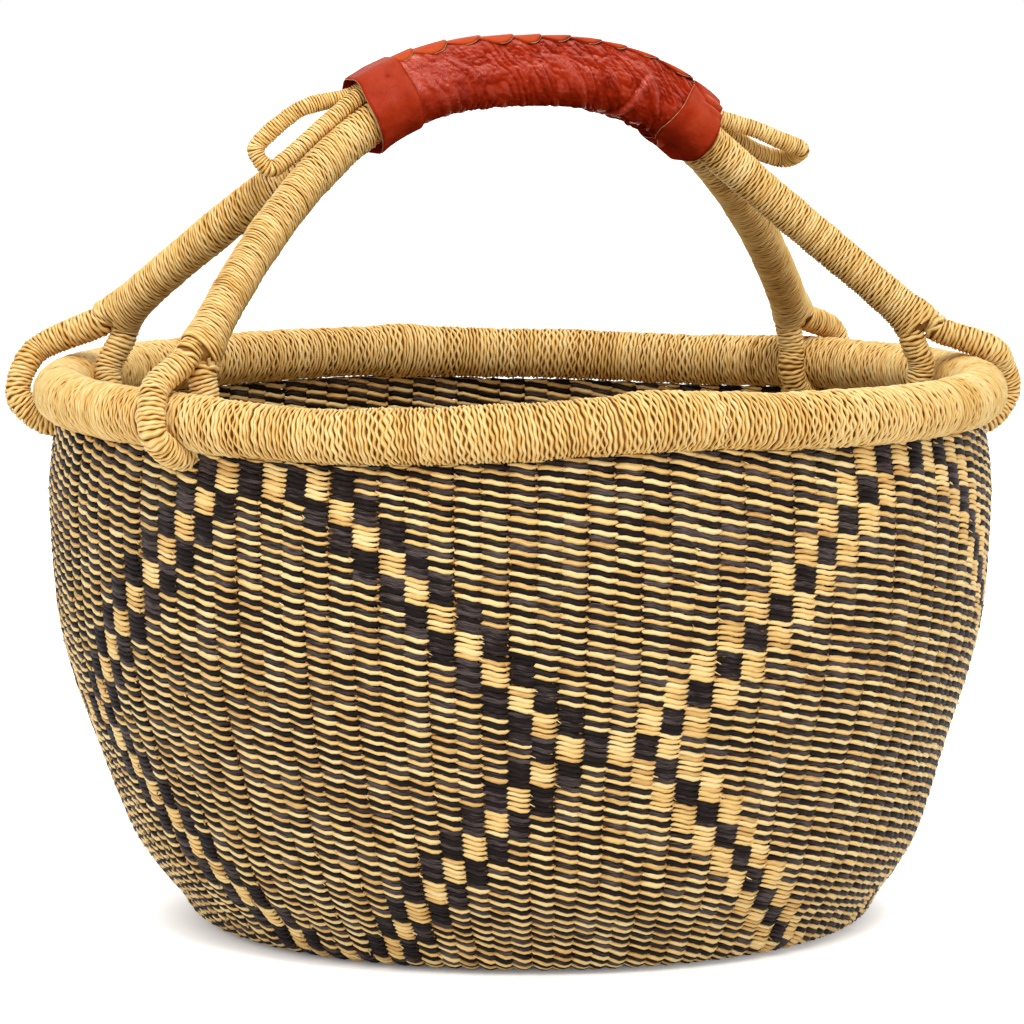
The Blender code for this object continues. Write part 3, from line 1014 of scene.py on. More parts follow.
        u = places[None, :] * (1 + one(0.06)) + one(0.04)
        half = (self.dark_half_width if is_dark else self.natural_half_width) * (1 + one(0.14))
        half = half * np.where(rng.random(n)[:, None] < self.broad_share, self.broad_gain, 1.0)
        drop = self.dip * (1 + one(0.25)) * np.sin(1.5 * math.pi * u) + one(self.row_stray)
        out = self.reach * np.cos(0.8 * math.pi * u) * (1 + one(0.10)) + self.lap * u - self.reach_setback
        drop = drop if outside else -drop
        azimuth = self.azimuth(made.columns[:, None] + u, made.stakes)
        azimuth = azimuth + self.stake_drift(made.columns, made.downs)[:, None]
        tip_share = self.tip_share if outside else self.inner_tip_share
        lower = bell(places - self.tip_shift, self.tip_reach, tip_share)[None, :, None]
        upper = bell(places + self.tip_shift, self.tip_reach, tip_share)[None, :, None]
        across = half[:, :, None] * np.where(np.sin(turn) > 0, lower, upper) * np.sin(turn)
        thick = self.half_thickness * bell(places, 0.8, 0.3)[None, :, None] * np.cos(turn)
        down = made.downs[:, None, None] + drop[:, :, None] + across
        off = made.face.value * (out[:, :, None] + thick * (1 + one(0.1))[:, :, None])
        rings = self.surface(np.broadcast_to(azimuth[:, :, None], down.shape), down, off)
        # Painted shade: each stitch darkens towards its tips, where it goes in behind the stakes, and on its
        # flanks.
        level = self.middle_tone + one(self.tone_spread) - self.tip_shade * np.abs(places)[None, :]
        crease_shade = (self.dark_crease_shade if is_dark else self.natural_crease_shade) * (np.cos(turn) - 1)
        if outside:
            rings, crease_shade = rings[:, :, ::-1], crease_shade[::-1]
        return rings, level[:, :, None] + crease_shade

    def add(self, rng: np.random.Generator, mesh: RingMesh, made: Stitches, lowest: float) -> None:
        """Adds stitches to a mesh, flattened where they would go below the lowest height.

        Args:
            rng: The source of random numbers.
            mesh: The mesh to add to.
            made: The stitches.
            lowest: The lowest height that they may have.
        """
        rings, level = self.lenses(rng, made)
        rings[..., 2] = np.maximum(rings[..., 2], lowest)
        mesh.add(rings, level, 4 * self.natural_half_width, rng.uniform(0, 9, len(made.downs)))

    def dress(self, mesh: RingMesh, tone: Tone) -> None:
        """Makes a mesh into a finished piece of the weave."""
        dressed(mesh.build(GRASS[tone]), "woven_straw", "woven_bowl")

    def build(self) -> None:
        """Makes the outside and inside of the wall and of the base, the stakes and the stray ends."""
        rng = np.random.default_rng(self.seed)
        dark = self.pattern()
        self.build_wall(rng, dark, Face.OUTSIDE, 3)
        self.build_wall(rng, dark, Face.INSIDE, 2)
        for face in Face:
            self.build_base(rng, face)
        self.build_stakes(rng)
        self.build_stray_ends(rng, dark)

    def build_wall(self, rng: np.random.Generator, dark: Array, face: Face, bands: int) -> None:
        """Makes one side of the wall in bands of rows, the natural and the dark stitches apart.

        Args:
            rng: The source of random numbers.
            dark: The pattern of the outside. The inside shows the other strand of each pair.
            face: Which side to make.
            bands: How many bands it is made in.
        """
        shown = dark if face is Face.OUTSIDE else 1 - dark
        limits = np.linspace(0, len(dark), bands + 1).astype(int)
        for band in range(bands):
            for tone in Tone:
                rows, columns = np.nonzero(shown[limits[band] : limits[band + 1]] == tone.value)
                rows = rows + limits[band]
                downs = self.row_downs(rows, columns) + self.long_wave * np.sin(columns * 0.37 + rows * 0.05)
                downs = downs + self.short_wave * np.sin(columns * 0.9)
                seen = downs > self.highest
                made = Stitches(columns[seen], downs[seen], self.stakes, tone, face, face is Face.OUTSIDE)
                mesh = RingMesh(f"wall_{face.name.lower()}_{tone.name.lower()}_{band + 1}")
                self.add(rng, mesh, made, -math.inf)
                self.dress(mesh, tone)

    def build_base(self, rng: np.random.Generator, face: Face) -> None:
        """Makes one side of the base, with half as many stakes each time the rows grow short.

        Args:
            rng: The source of random numbers.
            face: Which side to make.
        """
        total = float(self.line.places[-1])
        batches = {tone: {} for tone in Tone}
        row, down = self.rows, self.top_gap + (self.rows + 0.5) * self.row_pitch
        while down < total - self.base_hole:
            halvings = (total - down <= self.half_stakes_at) + (total - down <= self.quarter_stakes_at)
            stakes = self.stakes // 2**halvings
            columns = np.arange(stakes)
            is_dark = (columns + row) % 2 if face is Face.OUTSIDE else 1 - (columns + row) % 2
            for tone in Tone:
                some = columns[is_dark == tone.value]
                batches[tone].setdefault(stakes, []).append((some, np.full(len(some), down)))
            row, down = row + 1, down + self.row_pitch
        for tone, found in batches.items():
            mesh = RingMesh(f"base_{face.name.lower()}_{tone.name.lower()}")
            for stakes in sorted(found):
                columns, downs = (np.concatenate(parts) for parts in zip(*found[stakes]))
                self.add(rng, mesh, Stitches(columns, downs, stakes, tone, face, False), 0.0)
            self.dress(mesh, tone)

    def build_stakes(self, rng: np.random.Generator) -> None:
        """Makes the upright stakes that the strands pass round, from the rim in to the middle of the base."""
        columns = np.arange(self.stakes)
        short = np.where(columns % 2 == 0, self.quarter_stakes_at, self.half_stakes_at)
        ends = float(self.line.places[-1]) - np.where(columns % 4 == 0, self.stake_end, short)
        downs = self.stake_top + (ends[:, None] - self.stake_top) * np.linspace(0.0, 1.0, 90)[None, :]
        azimuth = self.azimuth(columns[:, None]) + self.stake_drift(columns[:, None], downs)
        turn = round_turn(6)
        wide = np.degrees(self.stake_radius / np.maximum(self.line.read(downs)[0], self.least_radius))
        shape = (*downs.shape, len(turn))
        rings = self.surface(
            azimuth[:, :, None] + wide[:, :, None] * np.sin(turn),
            np.broadcast_to(downs[:, :, None], shape),
            np.broadcast_to(self.stake_radius * self.stake_flatness * np.cos(turn), shape),
        )
        level = np.broadcast_to(rng.uniform(0.25, 0.6, len(columns))[:, None], downs.shape)
        mesh = RingMesh("stakes")
        mesh.add(rings, level, 2 * math.pi * self.stake_radius, rng.uniform(0, 9, len(columns)))
        self.dress(mesh, Tone.NATURAL)

    def build_stray_ends(self, rng: np.random.Generator, dark: Array) -> None:
        """Makes the short cut ends of grass that stick out beside the checked bands.

        Args:
            rng: The source of random numbers.
            dark: The pattern of the outside.
        """
        border = (np.roll(dark, -1, axis=1) == 1) & (dark == 0) & (np.roll(dark, 1, axis=1) == 1)
        border[-self.bare_rows :] = False
        rows, columns = np.nonzero(border & (rng.random(dark.shape) < self.peg_share))
        n, columns = len(rows), columns + self.peg_column

        def vary(spread: float) -> Array:
            """Draws a random size about 1 for each end."""
            return rng.uniform(1 - spread, 1 + spread, n)[:, None, None]

        step = np.array((0.0, 0.55, 1.0))[None, :, None]
        turn = round_turn(4)[None, None, :]
        downs = self.row_downs(rows, columns)
        degrees = math.degrees(1.0) / np.maximum(self.line.read(downs)[0], self.least_radius)[:, None, None]
        thin = self.peg_radius * vary(0.3) * (1 - 0.45 * step)
        run = self.peg_run * step * vary(0.5) + rng.uniform(-self.peg_stray, self.peg_stray, n)[:, None, None]
        azimuth = self.azimuth(columns)[:, None, None] + degrees * run
        down = downs[:, None, None] + self.peg_drop * step * vary(0.4)
        off = self.reach + self.peg_gap + self.peg_lift * step * vary(0.5)
        length = math.hypot(self.peg_drop, self.peg_run)
        rings = self.surface(
            azimuth + degrees * thin * np.cos(turn) * self.peg_drop / length,
            down + thin * np.cos(turn) * self.peg_run / length,
            off + thin * np.sin(turn),
        )
        level = np.broadcast_to(rng.uniform(0.3, 1.0, n)[:, None], rings.shape[:2])
        mesh = RingMesh("stray_ends")
        mesh.add(rings, level, 0.002, rng.uniform(0, 9, n))
        self.dress(mesh, Tone.NATURAL)


# Windings


@dataclass(frozen=True)
class Stray:
    """A smooth random change along a winding: how strong it is, and how often it changes in a turn."""

    strength: float
    per_turn: float


@dataclass
class Winding:
    """One long straw wound close round a bundle. Each turn sways to and fro between its neighbours."""

    name: str
    path: Path
    radius: Callable[[Array], tuple[Array, Array]]
    pitch: float = 0.0019
    thickness: float = 0.00078
    steps_per_turn: int = 38
    sides: int = 5
    slant: float = 0.0008
    slant_degrees: float = 34.0
    sways: float = 7.5
    sway: float = 0.00020
    unevenness: float = 0.00014
    # Painted shade on the flanks of each turn, towards the next turn.
    crease_shade: float = 0.80
    seed: int = 1
    start: float = 0.0
    end: float | None = None
    parts: int = 1
    short_drift: Stray = Stray(0.15, 1.3)
    long_drift: Stray = Stray(0.20, 0.31)
    slant_stray: Stray = Stray(0.35, 0.23)
    sway_stray: Stray = Stray(0.75, 0.7)
    phase_stray: Stray = Stray(3.0, 0.55)
    swell: Stray = Stray(0.00020, 0.17)
    bump_changes: float = 2.3
    sway_lift: float = 0.6
    half_width: float = 0.47
    fine_width: Stray = Stray(0.08, 2.9)
    broad_width: Stray = Stray(0.05, 1.1)
    middle_tone: float = 0.84
    fine_tone: Stray = Stray(0.20, 1.3)
    broad_tone: Stray = Stray(0.10, 0.11)
    # Painted shade: a turn is lighter where its sway lifts it and darker where it dips.
    sway_shade: float = 0.12
    bundle_step: float = 0.004
    bundle_inset: float = 0.6

    def strand(self) -> tuple[Array, Array]:
        """Works out the straw's rings.

        Returns:
            The rings, as one for each step by sides by 3, and a tone for each point of them, with painted
            shade on the flanks and in the dips.
        """
        rng = np.random.default_rng(self.seed)
        end = self.path.length if self.end is None else self.end
        turns = max(3, round((end - self.start) / self.pitch))
        turn = np.arange(turns * self.steps_per_turn + 1) / self.steps_per_turn
        share, phi = turn / turns, 2 * math.pi * turn

        def strayed(stray: Stray) -> Array:
            """Draws one of the random changes along the winding."""
            return stray.strength * wander(rng, max(2, int(turns * stray.per_turn)), share)

        at = self.start + share * (end - self.start)
        at = at + self.pitch * (strayed(self.short_drift) + strayed(self.long_drift))
        slant = self.slant * (1 + strayed(self.slant_stray))
        at = at + slant * np.cos(phi - math.radians(self.slant_degrees))
        sway = self.sway * (1 + strayed(self.sway_stray))
        phase = self.sways * phi + strayed(self.phase_stray)
        at = at + sway * np.sin(phase)
        if not self.path.closed:
            at = np.clip(at, 0.0, self.path.length)
        centre, side, up = self.path.read(at)
        wide, tall = self.radius(at)
        bump = strayed(Stray(self.unevenness, self.bump_changes)) + strayed(self.swell)
        bump = bump + self.sway_lift * sway * np.cos(phase)
        ring = side * ((wide + bump) * np.cos(phi))[:, None] + up * ((tall + bump) * np.sin(phi))[:, None]
        line = centre + ring
        ahead = unit(np.gradient(line, axis=0))
        out = unit(ring - ahead * np.sum(ring * ahead, axis=1, keepdims=True))
        across = np.cross(ahead, out)
        half = self.spacing(line) * (self.half_width + strayed(self.fine_width) + strayed(self.broad_width))
        angle = round_turn(self.sides)
        rings = (
            line[:, None, :]
            + out[:, None, :] * (self.thickness * np.cos(angle))[None, :, None]
            + across[:, None, :] * half[:, None, None] * np.sin(angle)[None, :, None]
        )
        tone = self.middle_tone + strayed(self.fine_tone) + strayed(self.broad_tone)
        # Painted shade in the tone: darker where the sway dips and on the flanks of each turn.
        tone = tone + self.sway_shade * np.cos(phase)
        return rings, tone[:, None] + self.crease_shade * (np.cos(angle) - 1)

    def spacing(self, line: Array) -> Array:
        """Works out how far the turns lie apart.

        Args:
            line: The straw's middle line, one point for each step.

        Returns:
            The distance between turns at each point.
        """
        index = np.arange(len(line))
        after = np.minimum(index + self.steps_per_turn, len(line) - 1)
        before = np.maximum(index - self.steps_per_turn, 0)
        found = np.linalg.norm(line[after] - line[before], axis=1) * self.steps_per_turn
        return np.minimum(found / np.maximum(after - before, 1), 2 * self.pitch)

    def build(self, wrap: str, core: str) -> None:
        """Makes the wound straw and the bundle that it covers, for the solids of the wrap and the core."""
        self.build_straw(wrap)
        self.build_bundle(core)

    def build_straw(self, node: str) -> None:
        """Makes the wound straw, in as many parts of equal length as are asked for."""
        rings, tone = self.strand()
        turns = (len(rings) - 1) // self.steps_per_turn
        limits = np.linspace(0, turns, self.parts + 1).astype(int)
        for part in range(self.parts):
            own = np.arange(limits[part], limits[part + 1])
            index = own[:, None] * self.steps_per_turn + np.arange(self.steps_per_turn + 1)
            mesh = RingMesh(f"{self.name}_winding" + (f"_{part + 1}" if self.parts > 1 else ""))
            mesh.add(rings[index], tone[index], 4 * self.thickness, own * 0.01, capped=False)
            dressed(mesh.build(WINDING_STRAW), "wrapping_straw", node)

    def build_bundle(self, node: str) -> None:
        """Makes the bundle of grass inside the winding."""
        steps = max(12, round(self.path.length / self.bundle_step))
        at = np.linspace(0.0, self.path.length, steps + 1)
        wide, tall = self.radius(at)
        inner = self.thickness * self.bundle_inset
        rings = self.path.rings(at, wide - inner, tall - inner, round_turn(24))
        mesh = RingMesh(f"{self.name}_bundle")
        girth = 2 * math.pi * float(wide.mean())
        mesh.add(rings[None], np.full((1, len(at)), 0.5), girth, np.zeros(1), capped=not self.path.closed)
        dressed(mesh.build(SHADED_BUNDLE_GRASS), "straw_bundle", node)


@dataclass
class Rim:
    """The round rim: the bent ends of the stakes, wound with straw."""

    outer_diameter: float
    tube_diameter: float
    top_height: float
    pitch: float = 0.0017
    straw_thickness: float = 0.00095
    steps: int = 240
    swells: tuple[Ridge, ...] = (
        Ridge(-98.0, 5.0, 0.0009),
        Ridge(82.0, 3.0, 0.0012),
        Ridge(-140.0, 9.0, -0.0008),
    )

    @property
    def tube_radius(self) -> float:
        """The radius of the wound tube."""
        return self.tube_diameter / 2

    @property
    def centre_radius(self) -> float:
        """The radius of the tube's middle line."""
        return self.outer_diameter / 2 - self.tube_radius

    @property
    def centre_height(self) -> float:
        """The mean height of the tube's middle line."""
        return self.top_height - self.tube_radius

    def path(self) -> Path:
        """The tube's middle line, with the rim's waves."""
        azimuth = np.arange(self.steps) / self.steps * 360.0
        turn = np.radians(azimuth)
        round_it = (self.centre_radius * np.cos(turn), self.centre_radius * np.sin(turn))
        points = np.stack([*round_it, self.centre_height + rim_wave(azimuth)], axis=-1)
        return Path(points, np.array((1.0, 0.0, 0.0)), closed=True)

    def build(self) -> None:
        """Makes the winding and the bundle."""
        path = self.path()
        radius = self.tube_radius - self.straw_thickness

        def section(at: Array) -> tuple[Array, Array]:
            """The radii of the bundle, which is thicker or thinner at a few places round the rim."""
            azimuth = np.mod(at / path.length * 360.0 + 180.0, 360.0) - 180.0
            full = radius + sum(swell.over(azimuth) for swell in self.swells)
            return full, full

        Winding(
            "rim",
            path,
            section,
            pitch=self.pitch,
            thickness=self.straw_thickness,
            steps_per_turn=52,
            slant=0.0016,
            sways=10.5,
            sway=0.00033,
            unevenness=0.00026,
            # Strong painted shade on the flanks of the rim's turns.
            crease_shade=1.0,
            seed=21,
            parts=3,
        ).build("rim_wrap", "rim_core")


# The handle


@dataclass
class Foot:
    """Where one leg of the handle stands on the rim, and how its strap goes round the rim.

    The strap's shape is given by its drift along the rim, its distance from the rim over it, at its
    shoulder and under it, and its extra girth near the leg.
    """

    name: str
    azimuth: float
    setback: float
    rise: float
    skew: float = 0.0
    gain: float = 1.0
    shoulder: float = 1.0
    tuck: float = 1.0
    girth: float = 0.0
    slant_degrees: float = 34.0
    slant: float = 0.0008

    @property
    def out(self) -> Array:
        """The level direction from the basket's axis out through the foot."""
        return level_direction(self.azimuth)

    @property
    def along(self) -> Array:
        """The level direction along the rim at the foot."""
        return np.cross(UP, self.out)

    @property
    def end(self) -> int:
        """1 at the right end of the handle and -1 at its left end."""
        return 1 if self.out[0] > 0 else -1

    @property
    def side(self) -> int:
        """1 on the back arch and -1 on the front arch."""
        return 1 if self.out[1] > 0 else -1

    def drift(self, degrees: float) -> float:
        """The azimuth of the strap at an angle round the rim's section. It comes back inside the rim."""
        share = np.interp(-degrees, (-54.0, 6.0, 88.0, 203.0), (0.0, 1.0, 1.0, 0.15))
        return self.azimuth + self.skew * float(share)

    def reach(self, degrees: float) -> float:
        """What the strap's distance from the rim's middle is multiplied by at an angle round its section."""
        over = 1 + (self.shoulder - 1) * float(np.interp(degrees, (-14.0, 30.0), (0.0, 1.0)))
        under = 1 + (self.tuck - 1) * float(np.interp(-degrees, (14.0, 50.0), (0.0, 1.0)))
        return self.gain * over * under


@dataclass
class GripLine:
    """The arched middle line of the part of the handle that the leather binds."""

    top_height: float
    left_drop: float = 0.0175
    right_drop: float = 0.0272
    left_reach: float = 0.0718
    right_reach: float = 0.0837
    bound_margin: float = 0.002
    power: float = 2.7
    slope_step: float = 0.0005

    def bound(self, end: int) -> float:
        """How far the bound part runs to the left or the right."""
        return (self.right_reach if end > 0 else self.left_reach) + self.bound_margin

    def height(self, along: Array) -> Array:
        """The line's height at places along the handle."""
        right = self.right_drop * (np.abs(along) / self.bound(1)) ** self.power
        left = self.left_drop * (np.abs(along) / self.bound(-1)) ** self.power
        return self.top_height - np.where(along > 0, right, left)

    def frame(self, along: Array | float) -> tuple[Array, Array, Array]:
        """Reads the line.

        Args:
            along: Places along the handle.

        Returns:
            The points, the directions of travel to the right, and the upward directions.
        """
        along, step = np.asarray(along, float), self.slope_step
        slope = (self.height(along + step) - self.height(along - step)) / (2 * step)
        zero = np.zeros_like(along)
        travel = unit(np.stack([np.ones_like(along), zero, slope], axis=-1))
        up = np.stack([-travel[..., 2], zero, travel[..., 0]], axis=-1)
        return np.stack([along, zero, self.height(along)], axis=-1), travel, up


@dataclass
class Handle:
    """Two wound arches that lie side by side in the grip and end in four feet on the rim."""

    rim: Rim
    grip: GripLine
    rod_diameter: float = 0.0175
    strap_diameter: float = 0.0124
    clearance: float = 0.0003
    fork_pitch: float = 60.0
    fork_growth: float = 0.0022
    flare_length: float = 0.020
    tip_length: float = 0.005
    tip_taper: float = 0.30
    bare_end: float = 0.0030
    hidden_winding: float = 0.012
    start_pull: float = 1.05
    end_pull: float = 0.20
    leg_steps: int = 60
    lead_share: float = 0.75
    mouth_share: float = 0.85
    straw_thickness: float = 0.0008
    leg_pitch: float = 0.0015
    strap_pitch: float = 0.0018
    strap_steps: int = 12
    tuck_depths: tuple[float, float] = (0.019, 0.010)
    tuck_spreads: tuple[float, float] = (0.05, 0.30)
    girth_length: float = 0.030
    feet: tuple[Foot, ...] = (
        Foot(
            "back_left", 148.5, 0.0203, 0.0160, skew=3.0, tuck=0.92, girth=0.0009,
            slant=0.0020, slant_degrees=-86.0,
        ),
        Foot(
            "front_left", 201.7, 0.0108, 0.0118, skew=2.0, gain=0.93, shoulder=0.95, tuck=0.86,
            slant=0.0022, slant_degrees=-134.0,
        ),
        Foot("front_right", -13.5, 0.0205, 0.0122, skew=3.0, gain=1.07, shoulder=0.83),
        Foot("back_right", 23.7, 0.0143, 0.0096, gain=0.91, tuck=0.93),
    )
    strap_turn_shares: tuple[tuple[float, float], ...] = (
        (54.0, 1.13),
        (20.0, 1.16),
        (-14.0, 1.21),
        (-50.0, 1.15),
        (-88.0, 1.02),
        (-130.0, 1.03),
        (-168.0, 1.04),
        (-203.0, 1.10),
    )

    @property
    def rod_offset(self) -> float:
        """How far each arch lies from the handle's middle plane in the grip."""
        return (self.rod_diameter + self.clearance) / 2

    def ear_place(self, ear_diameter: float) -> tuple[float, float]:
        """Works out where the ear ring's strands lie on the arches.

        Args:
            ear_diameter: How thick the ring is.

        Returns:
            How far each strand lies from the middle plane, and how far above the arches' middle lines.
        """
        offset = (ear_diameter + self.clearance) / 2
        apart = (self.rod_diameter + ear_diameter) / 2 + self.clearance
        return offset, math.sqrt(apart**2 - (self.rod_offset - offset) ** 2)

    def foot(self, name: str) -> Foot:
        """The foot of that name."""
        return next(foot for foot in self.feet if foot.name == name)

    def fork(self, foot: Foot) -> tuple[Array, Array]:
        """Works out where a leg ends.

        Args:
            foot: The leg's foot.

        Returns:
            The middle of its end above the rim, and the direction in which it arrives.
        """
        radius = self.rim.centre_radius - foot.setback
        pitch = math.radians(self.fork_pitch)
        centre = foot.out * radius + UP * (self.rim.top_height + foot.rise)
        return centre, foot.out * math.cos(pitch) - UP * math.sin(pitch)

    def leg(self, foot: Foot) -> Array:
        """Runs a leg from the end of the bound part down to its fork.

        Args:
            foot: The leg's foot.

        Returns:
            The points of its middle line.
        """
        point, travel, _ = self.grip.frame(foot.end * self.grip.bound(foot.end))
        start = point + BACKWARD * (foot.side * self.rod_offset)
        finish, arrival = self.fork(foot)
        reach = np.linalg.norm(finish - start)
        first = travel * foot.end * reach * self.start_pull
        last = arrival * reach * self.end_pull
        t = np.linspace(0.0, 1.0, self.leg_steps)[:, None]
        ends = start * (1 - 3 * t**2 + 2 * t**3) + finish * (3 * t**2 - 2 * t**3)
        return ends + first * (t - 2 * t**2 + t**3) + last * (t**3 - t**2)

    def build_arch(self, name: str, seed: int) -> None:
        """Makes one arch: its two wound legs, and the bundle that runs on through the grip.

        Args:
            name: Which arch, as in its feet's names.
            seed: The seed of its windings.
        """
        feet = (self.foot(f"{name}_left"), self.foot(f"{name}_right"))
        left, right = (self.leg(foot) for foot in feet)
        along = np.linspace(-self.grip.bound(-1), self.grip.bound(1), self.leg_steps)[1:-1]
        bound = self.grip.frame(along)[0] + BACKWARD * (feet[0].side * self.rod_offset)
        path = Path(np.concatenate([left[::-1], bound, right]), feet[0].along)
        radius = self.rod_diameter / 2 - self.straw_thickness
        length = path.length

        def section(at: Array) -> tuple[Array, Array]:
            """The radii of the bundle, which grows taller towards a fork and tapers at its very tip."""
            to_end = np.minimum(at, length - at)
            near = eased(np.clip(1 - to_end / self.flare_length, 0.0, 1.0))
            tip = 1 - self.tip_taper * np.clip(1 - to_end / self.tip_length, 0.0, 1.0) ** 2
            return radius * tip, (radius + self.fork_growth * near) * tip

        left_end = float(travelled(left)[-1]) + self.hidden_winding
        right_start = length - float(travelled(right)[-1]) - self.hidden_winding
        for foot, start, end in zip(feet, (self.bare_end, right_start), (left_end, length - self.bare_end)):
            Winding(
                f"{foot.name}_leg",
                path,
                section,
                pitch=self.leg_pitch,
                thickness=self.straw_thickness,
                slant=foot.slant,
                slant_degrees=foot.slant_degrees,
                sway=0.00017,
                seed=seed + foot.end,
                start=start,
                end=end,
            ).build_straw(f"{name}_arch_wrap")
        whole = Winding(f"{name}_arch", path, section, thickness=self.straw_thickness)
        whole.build_bundle(f"{name}_arch_core")

    def strap(self, foot: Foot) -> Array:
        """Runs a strap out of the leg, over the rim, under it through the wall, and up inside.

        Args:
            foot: The strap's foot.

        Returns:
            The points of its middle line.
        """
        fork, arrival = self.fork(foot)
        strap_radius = self.strap_diameter / 2
        turn_radius = self.rim.tube_radius + self.clearance + strap_radius
        apart = unit(np.cross(foot.along, arrival)) * (self.strap_diameter + 2 * self.clearance) / 2
        apart = apart if np.dot(apart, foot.out) > 0 else -apart
        lead = arrival * (self.lead_share * strap_radius)
        leg = Path(self.leg(foot), foot.along)
        hidden = leg.read(leg.length - np.array(self.tuck_depths))[0]
        spread = apart * np.array(self.tuck_spreads)[:, None]
        points = [*(hidden + spread), fork + apart * self.mouth_share, fork + apart + lead]
        for degrees, share in self.strap_turn_shares:
            turn = math.radians(degrees)
            reach = share * turn_radius * foot.reach(degrees)
            out = level_direction(foot.drift(degrees))
            centre = out * self.rim.centre_radius + UP * self.rim.centre_height
            points.append(centre + out * (reach * math.cos(turn)) + UP * (reach * math.sin(turn)))
        points += [fork - apart + lead, fork - apart * self.mouth_share, *(hidden - spread)[::-1]]
        return smooth_curve(np.array(points), self.strap_steps)

    def build_strap(self, foot: Foot, seed: int) -> None:
        """Makes one strap's winding and bundle."""
        radius = self.strap_diameter / 2 - self.straw_thickness

        def section(at: Array) -> tuple[Array, Array]:
            """The radii of the bundle, which some straps have thicker near the leg."""
            full = radius + foot.girth * np.clip(2 - at / self.girth_length, 0.0, 1.0)
            return full, full

        Winding(
            f"{foot.name}_foot",
            Path(self.strap(foot), foot.along),
            section,
            pitch=self.strap_pitch,
            thickness=self.straw_thickness,
            steps_per_turn=30,
            slant=0.0007,
            sways=5.5,
            sway=0.00018,
            seed=seed,
        ).build(f"{foot.name}_foot_wrap", f"{foot.name}_foot_core")

    def build(self) -> None:
        """Makes both arches and all four straps."""
        self.build_arch("front", 41)
        self.build_arch("back", 51)
        for number, foot in enumerate(self.feet):
            self.build_strap(foot, 61 + number)


@dataclass
class EarLoop:
    """A finger loop: the end of a straw ring that comes out of the grip."""

    name: str
    end: int
    handle: Handle
    reach: float
    lift: float
    bend: float
    roll: float
    diameter: float = 0.0080
    half_width: float = 0.0070
    straw_thickness: float = 0.00055
    turn_share: float = 0.40
    hidden: float = 0.030
    outline_shares: tuple[tuple[float, float], ...] = (
        (0.22, 0.25),
        (0.45, 0.72),
        (0.68, 1.00),
        (0.86, 0.92),
        (0.97, 0.50),
    )

    def path(self) -> Path:
        """Runs the loop from its front strand round the tip to its back strand.

        Returns:
            Its middle line.
        """
        grip = self.handle.grip
        offset, rise = self.handle.ear_place(self.diameter)
        edge = grip.right_reach if self.end > 0 else grip.left_reach
        inside = []
        for back in (self.hidden, self.hidden / 2, 0.0):
            point, travel, up = grip.frame(self.end * (edge - back))
            inside.append(point + up * rise)
        found = [spot - BACKWARD * offset for spot in inside]
        front = [(along, -wide) for along, wide in self.outline_shares]
        for along, wide in [*front, (1.0, 0.0), *self.outline_shares[::-1]]:
            share = min(1.0, along / self.turn_share)
            turned = math.radians(self.roll) * share
            across = BACKWARD * math.cos(turned) + up * math.sin(turned)
            half = offset + (self.half_width - offset) * abs(wide) if wide else 0.0
            ahead = travel * self.end * (self.reach * along)
            middle = inside[-1] + ahead + up * (self.lift * share + self.bend * along**2)
            found.append(middle + across * math.copysign(half, wide))
        found += [spot + BACKWARD * offset for spot in inside[::-1]]
        return Path(smooth_curve(np.array(found), 8), BACKWARD)

    def section(self, at: Array) -> tuple[Array, Array]:
        """The radii of the bundle, which is as thick all the way."""
        full = np.full(at.shape, self.diameter / 2 - self.straw_thickness)
        return full, full

    def build(self) -> None:
        """Makes the winding and the bundle."""
        Winding(
            f"{self.name}_ear",
            self.path(),
            self.section,
            pitch=0.0013,
            thickness=self.straw_thickness,
            steps_per_turn=20,
            slant=0.0008,
            sways=3.5,
            sway=0.00010,
            seed=71 + self.end,
        ).build(f"{self.name}_ear_wrap", f"{self.name}_ear_core")


# The leather


@dataclass
class BoundBundle:
    """What the leather is pulled tight over: both arches, and the two strands that end in the loops."""

    handle: Handle
    ear_diameter: float = 0.0080
    fine: int = 720

    def hull(self, around: int) -> tuple[Array, Array, Array]:
        """The tight outline round the bundle, cut into equal lengths.

        Args:
            around: How many points there are.

        Returns:
            Side and up distances from the grip's middle line, the outward directions, and the places from
            0 to 1 round the outline, from its back counter-clockwise seen from the right.
        """
        rod, ear, rod_offset = self.handle.rod_diameter / 2, self.ear_diameter / 2, self.handle.rod_offset
        ear_offset, rise = self.handle.ear_place(self.ear_diameter)
        circles = [(side * rod_offset, 0.0, rod) for side in (-1, 1)]
        circles = np.array(circles + [(side * ear_offset, rise, ear) for side in (-1, 1)])
        turn = round_turn(self.fine)
        out = np.stack([np.cos(turn), np.sin(turn)], axis=-1)
        best = (circles[:, :2] @ out.T + circles[:, 2:]).argmax(axis=0)
        loop = circles[best, :2] + circles[best, 2:] * out
        loop, out = np.concatenate([loop, loop[:1]]), np.concatenate([out, out[:1]])
        places = travelled(loop)
        share = np.arange(around) / around
        at = share * places[-1]
        return read_columns(at, places, loop), unit(read_columns(at, places, out)), share

    def lay(self, along: Array, flat: Array) -> Array:
        """Places points round the bundle.

        Args:
            along: Their places along the handle.
            flat: Their side and up distances from the grip's middle line there.

        Returns:
            The points.
        """
        point, _, up = self.handle.grip.frame(along)
        return point + BACKWARD * flat[..., :1] + up * flat[..., 1:]


